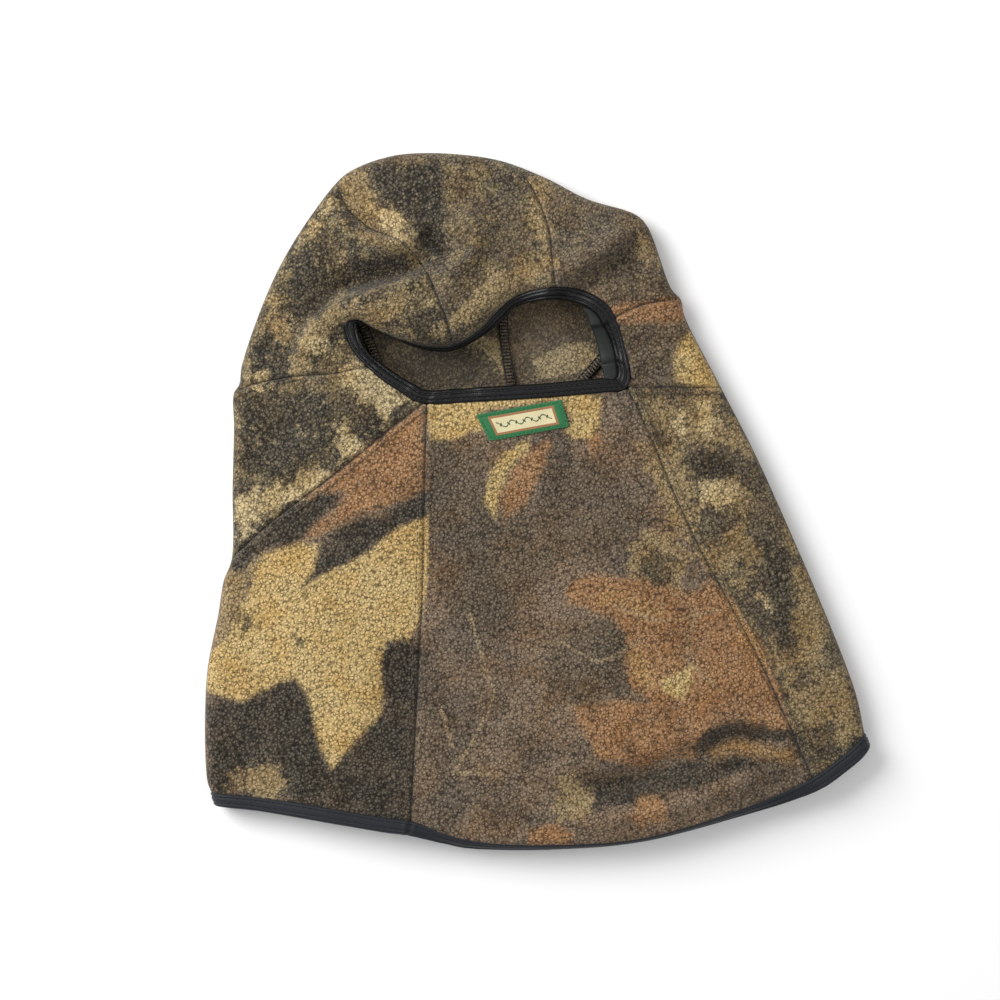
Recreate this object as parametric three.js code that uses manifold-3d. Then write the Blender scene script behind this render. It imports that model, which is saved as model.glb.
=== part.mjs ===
// A fleece balaclava, laid on its back on a table: fleece panels joined by overlocked seams, stretch
// bindings round the face opening and the hem, topstitching and a woven label. Sizes are in millimetres.
// +X is the viewer's right, +Y runs from the hem to the crown, and +Z is up, out of the face opening.
// The laid hood is a flat closed pillow, cut off at the hem, and every piece is part of a layer in or on
// the pillow's surface. Lines on the front are cut above the height of the fold, lines on the back below.
import * as THREE from "three";
import { mergeVertices } from "three/addons/utils/BufferGeometryUtils.js";
import Module from "manifold-3d";

const wasm = await Module();
wasm.setup();
const { Manifold } = wasm;

// Overall size of the laid hood. The pattern below is drawn at the base size and graded to it.
const LENGTH = 410; // from the lowest point of the hem to the top of the crown
const WIDTH = 373; // from fold to fold at the hem
const BASE_LENGTH = 410;
const BASE_WIDTH = 373;

const FLEECE = 2; // thickness of the fabric
const CLEARANCE = 0.4; // between pieces that lie on or beside each other
const FOLD_RADIUS = 8; // of the fabric's outside where the laid hood folds over
const SKIRT_LOFT = 5; // how far the front of the skirt stands above the folds
const CROWN_LOFT = 13; // how far the front of the crown does
const LOFT_REACH = 45; // distance from the folds over which the front rises

const TAPE = 0.8; // thickness of the binding tape
const FACE_BINDING_WIDTH = 8;
const HEM_BINDING_WIDTH = 8;
const HEM_LIFT = 1.5; // raises the back at the hem, so that the binding under it clears the table
const HEM_LIFT_REACH = 30;

const OVERLOCK_WIDTH = 6; // seam allowance with its thread, on the inside
const OVERLOCK_THICKNESS = 1.6;
const THREAD = 0.6; // width and height of a line of stitching
const TOPSTITCH_OFFSET = 3.2; // from a seam to its topstitching
const FACE_STITCH_OFFSETS = [2, 5.6]; // from the inner edge of the face binding
const HEM_STITCH_OFFSET = 5.5; // from the lower edge of the hem binding

const LABEL_WIDTH = 48;
const LABEL_HEIGHT = 15;
const LABEL_THICKNESS = 0.8;
const LABEL_MARGIN = 1.4; // from the label's edge to its stitching

const PILLOW_LONGITUDES = 48;
const PILLOW_LATITUDES = 12;
const FOLD_SHARE = 0.5; // share of the latitudes that go round the fold
const LINE_STEPS = 18; // facets along a seam
const OPENING_STEPS = 44; // facets round the face opening

const { clamp, lerp, smoothstep } = THREE.MathUtils;
const grade = (x, y) => new THREE.Vector3((x * WIDTH) / BASE_WIDTH, (y * LENGTH) / BASE_LENGTH, 0);
const graded = (points) => points.map(([x, y]) => grade(x, y));
const loop = (points) => new THREE.CatmullRomCurve3(graded(points), true, "centripetal");
const line = (points, steps = LINE_STEPS) =>
  new THREE.CatmullRomCurve3(points, false, "centripetal").getPoints(steps);

// The fold round the hood, clockwise from the left corner of the hem, and closed again below the hem.
const outline = loop([
  [-223, 76], [-218, 108], [-205, 158], [-184, 208], [-174, 246], [-165, 290], [-146, 328], [-121, 363],
  [-84, 398], [-41, 410], [12, 396], [45, 372], [84, 348], [94, 322], [99, 292], [110, 240], [125, 186],
  [139, 118], [149, 66], [151, 20], [148, -60], [60, -110], [-60, -110], [-190, -60], [-222, 20],
]);
const outlinePoints = outline.getPoints(400);
const MIDDLE = grade(-40, 170);

// Points where seams and the hem cross the fold.
const HEM_LEFT = grade(-222, 71);
const HEM_RIGHT = grade(151, 24);
const YOKE_LEFT = grade(-184, 206);
const YOKE_RIGHT = grade(108, 240);
const BASE_LEFT = grade(-163, 297);
const BASE_RIGHT = grade(98, 297);
const STRIP_LEFT = grade(-82, 399);
const STRIP_RIGHT = grade(21, 390);

// Points inside the pattern. Front seams run on into the face opening, which is cut out afterwards.
const FACE = grade(0, 285);
const MOUTH_LEFT = grade(-54, 266);
const MOUTH_RIGHT = grade(56, 252);
const TEMPLE_LEFT = grade(-90, 294);
const TEMPLE_RIGHT = grade(60, 295);
const NAPE = grade(-42, 228);
const YOKE_BACK = grade(-42, 158);
const HEM_BACK = grade(-42, 36);

// The face opening, anticlockwise, at the inner edge of its binding.
const faceOpening = loop([
  [-87, 317], [-80, 300], [-69, 286], [-53, 277], [-14, 271], [31, 267], [44, 265], [49, 277],
  [48, 292], [40, 303], [24, 308], [7, 310], [-12, 303], [-33, 295], [-50, 298], [-63, 307], [-76, 317],
]).getPoints(OPENING_STEPS);

// Points that take a line straight across the fold, square to it, from outside the hood.
const FOLD_CROSSING = [10, -3, -6];
function acrossFold(start) {
  const count = outlinePoints.length - 1;
  let nearest = 0;
  for (let i = 0; i < count; i++) {
    if (outlinePoints[i].distanceTo(start) < outlinePoints[nearest].distanceTo(start)) nearest = i;
  }
  const ahead = outlinePoints[(nearest + 3) % count];
  const along = ahead.clone().sub(outlinePoints[(nearest + count - 3) % count]);
  const out = new THREE.Vector3(-along.y, along.x, 0).normalize();
  return FOLD_CROSSING.map((distance) => start.clone().addScaledVector(out, distance));
}
const fromFold = (start, ...points) => line([...acrossFold(start), ...points]);
const foldToFold = (left, points, right) =>
  line([...acrossFold(left), ...points, ...acrossFold(right).reverse()], 2 * LINE_STEPS);

const hem = {
  front: foldToFold(
    HEM_LEFT, graded([[-190, 56], [-142, 38], [-92, 20], [-45, 6], [-8, 0], [60, 0], [115, 6]]), HEM_RIGHT),
  back: foldToFold(HEM_LEFT, [grade(-132, 50), HEM_BACK, grade(54, 27)], HEM_RIGHT),
};
const yokeBack = foldToFold(YOKE_LEFT, [grade(-120, 172), YOKE_BACK, grade(40, 176)], YOKE_RIGHT);
const baseBack = foldToFold(BASE_LEFT, [grade(-122, 264), NAPE, grade(38, 265)], BASE_RIGHT);
const BASE_BACK_LEFT = baseBack[Math.round(0.43 * baseBack.length)]; // where the strip's seams end
const BASE_BACK_RIGHT = baseBack[Math.round(0.54 * baseBack.length)];

// Seams: their lines on the front and on the back.
const seams = {
  crown_base: {
    front: [fromFold(BASE_LEFT, grade(-124, 297), TEMPLE_LEFT, FACE),
      fromFold(BASE_RIGHT, grade(78, 296), TEMPLE_RIGHT, FACE)],
    back: [baseBack],
  },
  yoke: {
    front: [fromFold(YOKE_LEFT, grade(-115, 236), MOUTH_LEFT, FACE),
      fromFold(YOKE_RIGHT, grade(80, 246), MOUTH_RIGHT, FACE)],
    back: [yokeBack],
  },
  strip_left: {
    front: [fromFold(STRIP_LEFT, grade(-50, 362), grade(-30, 312), FACE)],
    back: [fromFold(STRIP_LEFT, grade(-84, 330), BASE_BACK_LEFT)],
  },
  strip_right: {
    front: [fromFold(STRIP_RIGHT, grade(33, 348), grade(28, 316), FACE)],
    back: [fromFold(STRIP_RIGHT, grade(2, 330), BASE_BACK_RIGHT)],
  },
  centre_back_skirt: { front: [], back: [line([grade(-42, -60), HEM_BACK, YOKE_BACK])] },
  centre_back_neck: { front: [], back: [line([YOKE_BACK, NAPE])] },
  bib_left: {
    front: [line([...graded([[-124, -40], [-99, 92], [-81, 158], [-67, 213]]), MOUTH_LEFT, FACE])],
    back: [],
  },
  bib_right: {
    front: [line([...graded([[128, -40], [94, 106], [80, 156], [66, 207]]), MOUTH_RIGHT, FACE])],
    back: [],
  },
};

// Distance from a point of the laid hood to the nearest fold.
function depth(p) {
  let least = Infinity;
  for (let i = 1; i < outlinePoints.length; i++) {
    const a = outlinePoints[i - 1];
    const b = outlinePoints[i];
    const [bx, by] = [b.x - a.x, b.y - a.y];
    const t = clamp(((p.x - a.x) * bx + (p.y - a.y) * by) / (bx * bx + by * by), 0, 1);
    least = Math.min(least, (a.x + t * bx - p.x) ** 2 + (a.y + t * by - p.y) ** 2);
  }
  return Math.sqrt(least);
}

// How far the back rises at the hem.
function hemLift(p) {
  const corner = p.x < HEM_BACK.x ? HEM_LEFT : HEM_RIGHT;
  const edge = lerp(HEM_BACK.y, corner.y, (p.x - HEM_BACK.x) / (corner.x - HEM_BACK.x));
  return HEM_LIFT * (1 - smoothstep(p.y - edge, HEM_BINDING_WIDTH, HEM_LIFT_REACH));
}

// The pillow's surface. round goes once round the outline, and level goes from -1 in the middle of the
// back, over the fold at 0, to 1 in the middle of the front.
function surface(round, level) {
  const edge = outline.getPointAt((round + 1) % 1);
  const reach = edge.distanceTo(MIDDLE);
  const share = Math.abs(level) / FOLD_SHARE;
  const out = share < 1
    ? FOLD_RADIUS * (1 - Math.cos((share * Math.PI) / 2))
    : lerp(FOLD_RADIUS, reach, (share - 1) / (1 / FOLD_SHARE - 1));
  const p = edge.lerp(MIDDLE, out / reach);
  const d = level === 0 ? 0 : depth(p);
  const rim = FOLD_RADIUS * Math.sqrt(1 - (1 - Math.min(d, FOLD_RADIUS) / FOLD_RADIUS) ** 2);
  const loft = lerp(SKIRT_LOFT, CROWN_LOFT, smoothstep(p.y, LENGTH * 0.3, LENGTH * 0.75));
  const rise = level > 0 ? loft * (1 - Math.exp(-((d / LOFT_REACH) ** 2))) : hemLift(p) * (rim / FOLD_RADIUS);
  p.z = FOLD_RADIUS + Math.sign(level) * rim + rise;
  return p;
}

// The solid inside the pillow's surface, grown by the given height along its normals.
function makePillow(grown) {
  const geometry = new THREE.SphereGeometry(1, PILLOW_LONGITUDES, PILLOW_LATITUDES);
  const position = geometry.getAttribute("position");
  const h = 1e-3;
  for (let i = 0; i < position.count; i++) {
    const turn = Math.atan2(position.getZ(i), position.getX(i)) / (2 * Math.PI);
    const round = Math.round(turn * PILLOW_LONGITUDES) / PILLOW_LONGITUDES;
    const steps = Math.round((Math.asin(position.getY(i)) / Math.PI) * PILLOW_LATITUDES);
    const level = steps / (PILLOW_LATITUDES / 2);
    const across = surface(round, clamp(level + h, -1, 1)).sub(surface(round, clamp(level - h, -1, 1)));
    const along = surface(round + h, level).sub(surface(round - h, level));
    const normal = Math.abs(level) === 1 ? new THREE.Vector3(0, 0, level) : across.cross(along).normalize();
    const p = surface(round, level).addScaledVector(normal, grown);
    position.setXYZ(i, p.x, p.y, p.z);
  }
  return solid(geometry);
}

const pillows = new Map();
function pillow(grown) {
  if (!pillows.has(grown)) pillows.set(grown, makePillow(grown));
  return pillows.get(grown);
}

// What lies between two heights above the pillow's surface. Negative heights are inside it.
const layer = (low, high) => pillow(high).subtract(pillow(low));

function solid(geometry) {
  const bare = new THREE.BufferGeometry().setAttribute("position", geometry.getAttribute("position"));
  bare.setIndex(geometry.index);
  const merged = mergeVertices(bare, 1e-4);
  const vertProperties = merged.getAttribute("position").array;
  const triVerts = new Uint32Array(merged.index.array);
  return new Manifold(new wasm.Mesh({ numProp: 3, vertProperties, triVerts }));
}

// A plan outline, raised into a solid on the front or on the back of the hood.
const TALL = 80;
function raised(points, isFront) {
  const shape = new THREE.Shape(points.map((p) => new THREE.Vector2(p.x, p.y)));
  const geometry = new THREE.ExtrudeGeometry(shape, { depth: TALL, bevelEnabled: false });
  return solid(geometry.translate(0, 0, isFront ? FOLD_RADIUS : FOLD_RADIUS - TALL));
}

// A line moved sideways by a distance, to its left.
function shifted(points, distance) {
  return points.map((p, i) => {
    const ahead = points[Math.min(i + 1, points.length - 1)];
    const along = ahead.clone().sub(points[Math.max(i - 1, 0)]).normalize();
    return new THREE.Vector3(p.x - along.y * distance, p.y + along.x * distance, 0);
  });
}

// The ribbon between two parallels of a line.
const ribbon = (points, from, to, isFront) =>
  raised([...shifted(points, from), ...shifted(points, to).reverse()], isFront);

// All the lines of a seam as a wall of the given width. offset moves its front lines sideways.
function wall(seam, width, offset = 0) {
  const front = seam.front.map((points) => ribbon(points, offset - width / 2, offset + width / 2, true));
  const back = seam.back.map((points) => ribbon(points, -width / 2, width / 2, false));
  return Manifold.union([...front, ...back]);
}

// The face opening grown by a distance.
function face(grown) {
  const lapped = [faceOpening[OPENING_STEPS - 1], ...faceOpening, faceOpening[1]];
  return raised(shifted(lapped, -grown).slice(1, -2), true);
}

// The band of the hem between two heights above its edge.
const hemBand = (from, to) => ribbon(hem.front, from, to, true).add(ribbon(hem.back, from, to, false));

// Everything below a height above the hem's edge.
function belowHem(height) {
  const cut = (points, isFront) => {
    const edge = shifted(points, height);
    const corners = [edge[0], edge[edge.length - 1]].map((p) => new THREE.Vector3(p.x, -LENGTH, 0));
    return raised([corners[0], ...edge, corners[1]], isFront);
  };
  return cut(hem.front, true).add(cut(hem.back, false));
}

const pieces = [];
function add(name, made, color, roughness = 0.95) {
  const largest = made.decompose().sort((a, b) => b.volume() - a.volume())[0].getMesh();
  const geometry = new THREE.BufferGeometry();
  geometry.setAttribute("position", new THREE.Float32BufferAttribute(largest.vertProperties, 3));
  geometry.setIndex(Array.from(largest.triVerts));
  const piece = new THREE.Mesh(geometry, new THREE.MeshStandardMaterial({ color, roughness, metalness: 0 }));
  piece.name = name;
  pieces.push(piece);
}

// The fleece panels, each with a point of its front.
const PANELS = {
  crown_centre_strip: { at: grade(-20, 385), color: "#5b4f3d" },
  crown_side_left: { at: grade(-110, 340), color: "#6e5f4a" },
  crown_side_right: { at: grade(70, 330), color: "#5d5140" },
  neck_side_left: { at: grade(-125, 262), color: "#4a4136" },
  neck_side_right: { at: grade(82, 270), color: "#7a6648" },
  skirt_left: { at: grade(-140, 130), color: "#a5824c" },
  skirt_right: { at: grade(118, 140), color: "#6b5c45" },
  front_bib: { at: grade(0, 130), color: "#6f6150" },
};
const NYLON = "#15161a";
const HEM_BLACK = "#22252f";
const STITCH = "#2a2721";
const OVERLOCK = "#1f1d1a";

// An upright block at a point of the front.
const block = (centre, width, height) =>
  solid(new THREE.BoxGeometry(width, height, TALL).translate(centre.x, centre.y, FOLD_RADIUS + TALL / 2));

// The fabric layer, cut apart at the seams and cut back from the edges that the bindings cover.
function fleecePanels() {
  const cuts = Object.values(seams).map((seam) => wall(seam, CLEARANCE));
  const edge = TAPE + CLEARANCE;
  const fabric = layer(-FLEECE, 0).subtract(Manifold.union([...cuts, face(edge), belowHem(edge)]));
  const bodies = fabric.decompose();
  for (const [name, { at, color }] of Object.entries(PANELS)) {
    const probe = block(at, 2, 2);
    add(name, bodies.find((body) => body.intersect(probe).volume() > 0), color);
  }
}

// A tape folded over an edge of the fabric, with a slot for the fabric.
const foldedTape = (width, slot) =>
  layer(-FLEECE - CLEARANCE - TAPE, CLEARANCE + TAPE).intersect(width)
    .subtract(layer(-FLEECE - CLEARANCE, CLEARANCE).intersect(slot));
const ON_TAPE = 2 * CLEARANCE + TAPE; // height of the stitching on a tape

function faceBinding() {
  const width = face(FACE_BINDING_WIDTH).subtract(face(0));
  const slot = face(FACE_BINDING_WIDTH + CLEARANCE).subtract(face(TAPE));
  add("face_binding", foldedTape(width, slot), NYLON, 0.45);
  FACE_STITCH_OFFSETS.forEach((offset, i) => {
    const row = face(offset + THREAD / 2).subtract(face(offset - THREAD / 2));
    add(`face_binding_stitching_${i + 1}`, layer(ON_TAPE, ON_TAPE + THREAD).intersect(row), STITCH, 0.6);
  });
}

function hemBinding() {
  const slot = hemBand(TAPE, HEM_BINDING_WIDTH + CLEARANCE);
  add("hem_binding", foldedTape(hemBand(0, HEM_BINDING_WIDTH), slot), HEM_BLACK, 0.6);
  const row = ribbon(hem.front, HEM_STITCH_OFFSET - THREAD / 2, HEM_STITCH_OFFSET + THREAD / 2, true);
  add("hem_binding_stitching", layer(ON_TAPE, ON_TAPE + THREAD).intersect(row), STITCH, 0.6);
}

// What the bindings cover, with a clearance.
const covered = () =>
  face(FACE_BINDING_WIDTH + CLEARANCE).add(belowHem(HEM_BINDING_WIDTH + CLEARANCE));

// The overlocked seam allowances on the inside. Each stops short of the bindings and the seams before it.
function overlockedSeams() {
  const high = -FLEECE - CLEARANCE;
  const inside = layer(high - OVERLOCK_THICKNESS, high);
  let taken = covered();
  for (const [name, seam] of Object.entries(seams)) {
    add(`${name}_overlock`, inside.intersect(wall(seam, OVERLOCK_WIDTH)).subtract(taken), OVERLOCK, 0.9);
    taken = taken.add(wall(seam, OVERLOCK_WIDTH + 2 * CLEARANCE));
  }
}

// Topstitching beside the yoke and bib seams on the front.
function topstitching() {
  const surfaceLayer = layer(CLEARANCE, CLEARANCE + THREAD).subtract(covered());
  const bibs = wall(seams.bib_left, 4 * TOPSTITCH_OFFSET).add(wall(seams.bib_right, 4 * TOPSTITCH_OFFSET));
  const [yokeLeft, yokeRight] = seams.yoke.front.map((points) => ({ front: [points], back: [] }));
  const rows = {
    yoke_left: wall(yokeLeft, THREAD, -TOPSTITCH_OFFSET).subtract(bibs),
    yoke_right: wall(yokeRight, THREAD, TOPSTITCH_OFFSET).subtract(bibs),
    bib_left: wall(seams.bib_left, THREAD, TOPSTITCH_OFFSET),
    bib_right: wall(seams.bib_right, THREAD, -TOPSTITCH_OFFSET),
  };
  for (const [name, row] of Object.entries(rows)) {
    add(`${name}_topstitching`, surfaceLayer.intersect(row), STITCH, 0.8);
  }
}

function label() {
  const centre = grade(-4, 245);
  const top = CLEARANCE + LABEL_THICKNESS;
  const patch = layer(CLEARANCE, top).intersect(block(centre, LABEL_WIDTH, LABEL_HEIGHT));
  add("label_patch", patch, "#d9cfb4", 0.85);
  const [width, height] = [LABEL_WIDTH - 2 * LABEL_MARGIN, LABEL_HEIGHT - 2 * LABEL_MARGIN];
  const row = block(centre, width, height).subtract(block(centre, width - 2 * THREAD, height - 2 * THREAD));
  add("label_stitching", layer(top + CLEARANCE, top + CLEARANCE + THREAD).intersect(row), "#3f6b45", 0.8);
}

fleecePanels();
faceBinding();
hemBinding();
overlockedSeams();
topstitching();
label();

const balaclava = new THREE.Group();
balaclava.name = "balaclava";
balaclava.add(...pieces);
const middle = new THREE.Box3().setFromObject(balaclava, true).getCenter(new THREE.Vector3());
balaclava.position.set(-middle.x, -middle.y, 0);
export default balaclava;
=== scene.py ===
"""Looks of a fleece balaclava that lies on its back: a hood of printed camouflage fleece in eight panels,
with bound face opening and hem, overlocked seams, topstitching and a woven label.

Plan positions are in millimetres in the pattern's frame: x to the wearer's left, y from the hem up to the
crown. Heights are in millimetres above the table. build_mesh turns both into the part's frame."""
import math
import random

import bpy
import numpy as np
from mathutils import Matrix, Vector
from mathutils.geometry import delaunay_2d_cdt


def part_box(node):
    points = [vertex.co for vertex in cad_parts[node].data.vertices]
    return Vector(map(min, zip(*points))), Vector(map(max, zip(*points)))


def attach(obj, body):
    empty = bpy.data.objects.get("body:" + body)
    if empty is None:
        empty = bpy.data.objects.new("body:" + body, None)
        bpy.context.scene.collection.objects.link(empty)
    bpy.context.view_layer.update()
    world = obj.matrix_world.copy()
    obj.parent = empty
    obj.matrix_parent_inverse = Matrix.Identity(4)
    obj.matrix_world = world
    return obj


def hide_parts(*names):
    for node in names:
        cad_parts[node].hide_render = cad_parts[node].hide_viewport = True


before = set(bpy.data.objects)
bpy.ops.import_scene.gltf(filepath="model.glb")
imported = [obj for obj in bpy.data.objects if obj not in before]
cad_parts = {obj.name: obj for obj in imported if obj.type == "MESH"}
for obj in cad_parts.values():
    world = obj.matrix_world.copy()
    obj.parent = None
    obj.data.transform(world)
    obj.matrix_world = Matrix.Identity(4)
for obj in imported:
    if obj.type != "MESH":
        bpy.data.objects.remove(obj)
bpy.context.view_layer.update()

# ---------------------------------------------------------------- sizes, in millimetres
MM = 0.001
LABEL_CENTRE = (-4.0, 245.0)  # in the pattern's frame
label_low, label_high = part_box("label_patch")
SHIFT = [(label_low[i] + label_high[i]) / 2 / MM - LABEL_CENTRE[i] for i in (0, 1)]

FLEECE = 1.9  # thickness of the fabric
FOLD_RADIUS = 8.0  # of the fabric's outside where the laid hood folds over
SKIRT_LOFT = 5.0  # how far the front of the skirt stands above the fold
CROWN_LOFT = 13.0  # how far the front of the crown does
LOFT_REACH = 45.0  # distance from the fold over which the front rises
LENGTH = 410.0  # from the hem to the top of the crown
TAPE_WIDTH = 8.2  # of both bindings
STITCH_ROWS = (0.27, 0.70)  # across a binding, as shares of its width
SEAM_HALF_WIDTH, SEAM_THICKNESS = 2.9, 1.0  # of an overlocked seam allowance
LABEL_SIZE = (48.0, 15.5)
LABEL_CORNERS = [(-29.5, 254.3), (19.3, 252.6), (20.6, 236.9), (-25.2, 238.2)]  # top left, then clockwise
LABEL_MARGIN = 1.2  # from the label's edge to its stitching
FRONT, BACK = 1, -1
GRID = {FRONT: 2.0, BACK: 3.0}  # spacing of the fleece's mesh
ROUND_STEPS = 7  # rows of mesh round the fold

# ---------------------------------------------------------------- the pattern's lines
# The fold round the laid hood, from the left corner of the hem over the crown to the right corner.
FOLD = [
    (-223, 75), (-224, 82), (-212, 140), (-198, 174), (-191, 192), (-184, 203), (-175, 243), (-167, 277),
    (-163, 296), (-159, 300), (-155, 311), (-121, 363), (-80, 402), (-70, 407), (-41, 410), (9, 397),
    (37, 380), (58, 363), (84, 348), (89, 340), (95, 302), (99, 295), (99, 286), (111, 241), (124, 192),
    (150, 55), (150, 30),
]
FRONT_HEM = [(-223, 75), (-200, 68), (-174, 59), (-131, 42), (-112, 35), (-97, 25), (-78, 16), (-34, 5),
             (12, -1), (59, 2), (107, 10), (135, 21), (150, 30)]
BACK_HEM = [(-223, 75), (-180, 66), (-132, 54), (-42, 40), (54, 31), (120, 26), (150, 30)]
# Lower edge of the hem's binding on the front, in step with the hem.
HEM_BOTTOM = [(-222, 66), (-199, 59), (-176, 50.5), (-133, 34), (-116, 27.5), (-99, 19.5), (-80, 12),
              (-35, 2.5), (12, -3), (60, -1.5), (110, 3), (139, 13), (152, 21.5)]

# The face opening in matching steps round the binding: its outer edge, where it covers the fleece, and its
# inner edge. It starts at the left tip and runs along the lower edge first.
BINDING_OUTER = [
    (-92, 320), (-91, 306), (-81, 289), (-69, 276), (-58, 267), (-31, 262), (8, 256), (42, 252), (56, 251),
    (61, 259), (61, 275), (60, 288), (56, 301), (43, 312), (24, 316), (6, 315), (-6, 309), (-18, 301),
    (-33, 296), (-48, 298), (-63, 305), (-76, 314), (-85, 321)]
BINDING_INNER = [
    (-85, 318), (-83, 304), (-74, 292), (-62, 280), (-52, 274), (-30, 270), (8, 265), (42, 261), (50, 261),
    (54, 265), (55, 275), (53, 286), (48, 296), (37, 306), (20, 310), (5, 310), (-3, 305), (-16, 298.5),
    (-33, 294), (-47, 296), (-61, 303), (-73, 312), (-81, 318)]

# Seams, each from the fold or the hem towards the face opening, and on the back to the seam that ends them.
SEAMS = {
    FRONT: {
        "base_left": [(-163, 296), (-150, 298), (-124, 297), (-104, 294), (-84, 294)],
        "base_right": [(99, 295), (88, 296), (75, 296), (62, 293), (52, 290)],
        "yoke_left": [(-184, 203), (-160, 217), (-115, 238), (-78, 257), (-55, 268)],
        "yoke_right": [(111, 241), (95, 244), (76, 248), (58, 252), (50, 258)],
        "strip_left": [(-80, 402), (-77, 386), (-66, 371), (-52, 361), (-42, 345), (-36, 320), (-33, 290)],
        "strip_right": [(21, 391), (29, 374), (33, 350), (31, 330), (28, 305)],
        "bib_left": [(-114, 36), (-105, 70), (-93, 115), (-81, 160), (-69, 210), (-62, 240), (-55, 268)],
        "bib_right": [(115, 13), (107, 50), (100, 82), (90, 118), (79, 155), (70, 195), (63, 230),
                      (57, 251), (50, 258)],
    },
    BACK: {
        "base": [(-163, 296), (-148, 287), (-122, 264), (-85, 240), (-42, 228), (0, 240), (38, 265),
                 (72, 289), (99, 295)],
        "yoke": [(-184, 203), (-165, 193), (-120, 172), (-42, 158), (40, 176), (90, 220), (111, 241)],
        "strip_left": [(-80, 402), (-86, 380), (-84, 330), (-78, 290), (-76, 236)],
        "strip_right": [(21, 391), (12, 365), (2, 330), (-5, 290), (-7, 237)],
        "centre_back_skirt": [(-42, 38), (-42, 100), (-42, 158)],
        "centre_back_neck": [(-42, 158), (-42, 190), (-42, 228)],
    },
}

# Each panel's node, with a point inside it on the front and on the back.
PANELS = {
    "crown_centre_strip": {FRONT: (-20, 385), BACK: (-42, 320)},
    "crown_side_left": {FRONT: (-120, 320), BACK: (-120, 310)},
    "crown_side_right": {FRONT: (60, 335), BACK: (50, 320)},
    "neck_side_left": {FRONT: (-135, 262), BACK: (-100, 200)},
    "neck_side_right": {FRONT: (82, 270), BACK: (20, 200)},
    "skirt_left": {FRONT: (-140, 130), BACK: (-110, 110)},
    "skirt_right": {FRONT: (120, 120), BACK: (50, 110)},
    "front_bib": {FRONT: (0, 130)},
}

# ---------------------------------------------------------------- folds in the laid fabric
# A ridge or valley: its line, height, and how far it spreads to its left and right.
FOLDS = [
    ([(-126, 296), (-122, 308), (-109, 323), (-94, 331), (-76, 333), (-55, 335), (-38, 341)], 4.2, 3.6, 12),
    ([(-100, 341), (-84, 342), (-66, 343), (-48, 344), (-30, 351)], -5.0, 9, 4.5),
    ([(-18, 371), (-8, 358), (-10, 345), (-25, 336), (-40, 333)], 3.6, 9, 5),
    ([(-40, 362), (-30, 352), (-24, 345)], -4.0, 7, 5),
    ([(2, 301), (12, 308), (23, 314), (42, 323), (62, 331), (84, 341)], 4.0, 12, 5),
    ([(30, 310), (48, 315), (66, 319), (84, 322)], -2.5, 8, 8),
    ([(-80, 400), (-72, 381), (-60, 368), (-46, 361)], -2.2, 3.5, 3.5),
    ([(-88, 385), (-78, 372), (-62, 360), (-48, 355)], 2.6, 6, 5),
    ([(-60, 325), (-44, 318), (-20, 322), (0, 330), (14, 345)], 2.0, 9, 9),
    ([(-118, 340), (-108, 352), (-94, 366)], 1.4, 9, 9),
    ([(58, 250), (76, 250), (96, 244)], 1.3, 3, 4),
    ([(57, 248), (63, 232), (66, 208)], 1.6, 4, 4),
    ([(53, 247), (50, 232), (38, 218)], 1.2, 5, 5),
    ([(58, 258), (72, 266), (88, 268)], 1.2, 4, 5),
    ([(-30, 36), (7, 32), (43, 37), (78, 40), (106, 38)], -4.0, 8, 6),
    ([(-40, 17), (0, 13), (45, 15), (85, 21), (110, 26)], 2.6, 7, 7),
    ([(54, 47), (74, 57), (96, 48), (112, 40)], 2.0, 6, 6),
    ([(-70, 150), (-52, 110), (-60, 60)], 1.2, 16, 16),
    ([(10, 200), (25, 150), (15, 90)], 1.4, 22, 22),
    ([(-150, 175), (-135, 120), (-140, 70)], 1.3, 20, 20),
    ([(-200, 120), (-170, 105), (-130, 110)], -1.0, 16, 16),
    ([(100, 190), (118, 140), (125, 80)], 1.0, 12, 12),
    ([(-150, 250), (-120, 262), (-95, 282)], 1.3, 10, 10),
    ([(-160, 225), (-130, 240), (-100, 256)], -1.0, 7, 7),
    ([(-20, 240), (-40, 215), (-45, 180)], 1.0, 14, 14),
]
LIP_DROP = 7.0  # how far the upper edge of the face opening rolls down
LIP_REACH = 7.5
FOLD_DEPTH = 2.0

# ---------------------------------------------------------------- the print
# Outlines of the leaves and patches of bark on the front, and of some painted shade and highlight in folds.
ORANGE_LEAF = [
    [(-59, 265), (-66, 220), (-82, 215), (-106, 214), (-123, 209), (-141, 204), (-131, 212), (-116, 221),
     (-112, 227), (-126, 230), (-133, 228), (-112, 240), (-86, 254)],
    [(-167, 136), (-163, 139), (-162, 133), (-166, 131)],
    [(-117, 133), (-112, 134), (-112, 128), (-117, 128)],
    [(-3, 230), (-17, 220), (-26, 207), (-27, 192), (-16, 198), (-7, 206), (3, 219), (8, 231)],
    [(28, 228), (35, 235), (36, 226), (32, 216)],
    [(0, 146), (5, 151), (15, 152), (31, 146), (49, 142), (56, 136), (67, 130), (83, 134), (89, 126),
     (93, 115), (102, 94), (106, 77), (108, 59), (109, 43), (95, 43), (82, 47), (74, 53), (63, 51),
     (54, 43), (51, 38), (36, 40), (20, 39), (6, 46), (-3, 48), (-5, 60), (-10, 73), (-11, 80), (1, 80),
     (17, 79), (32, 74), (24, 85), (24, 95), (27, 106), (27, 117), (21, 126), (11, 132), (0, 139)],
    [(15, 23), (25, 21), (31, 14), (28, 6), (13, 5), (10, 13)],
    [(-50, 19), (-34, 17), (-24, 11), (-28, 4), (-51, 8)],
    [(57, 300), (75, 298), (97, 297), (102, 294), (101, 283), (88, 283), (73, 288), (61, 289), (57, 293)],
]
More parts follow.
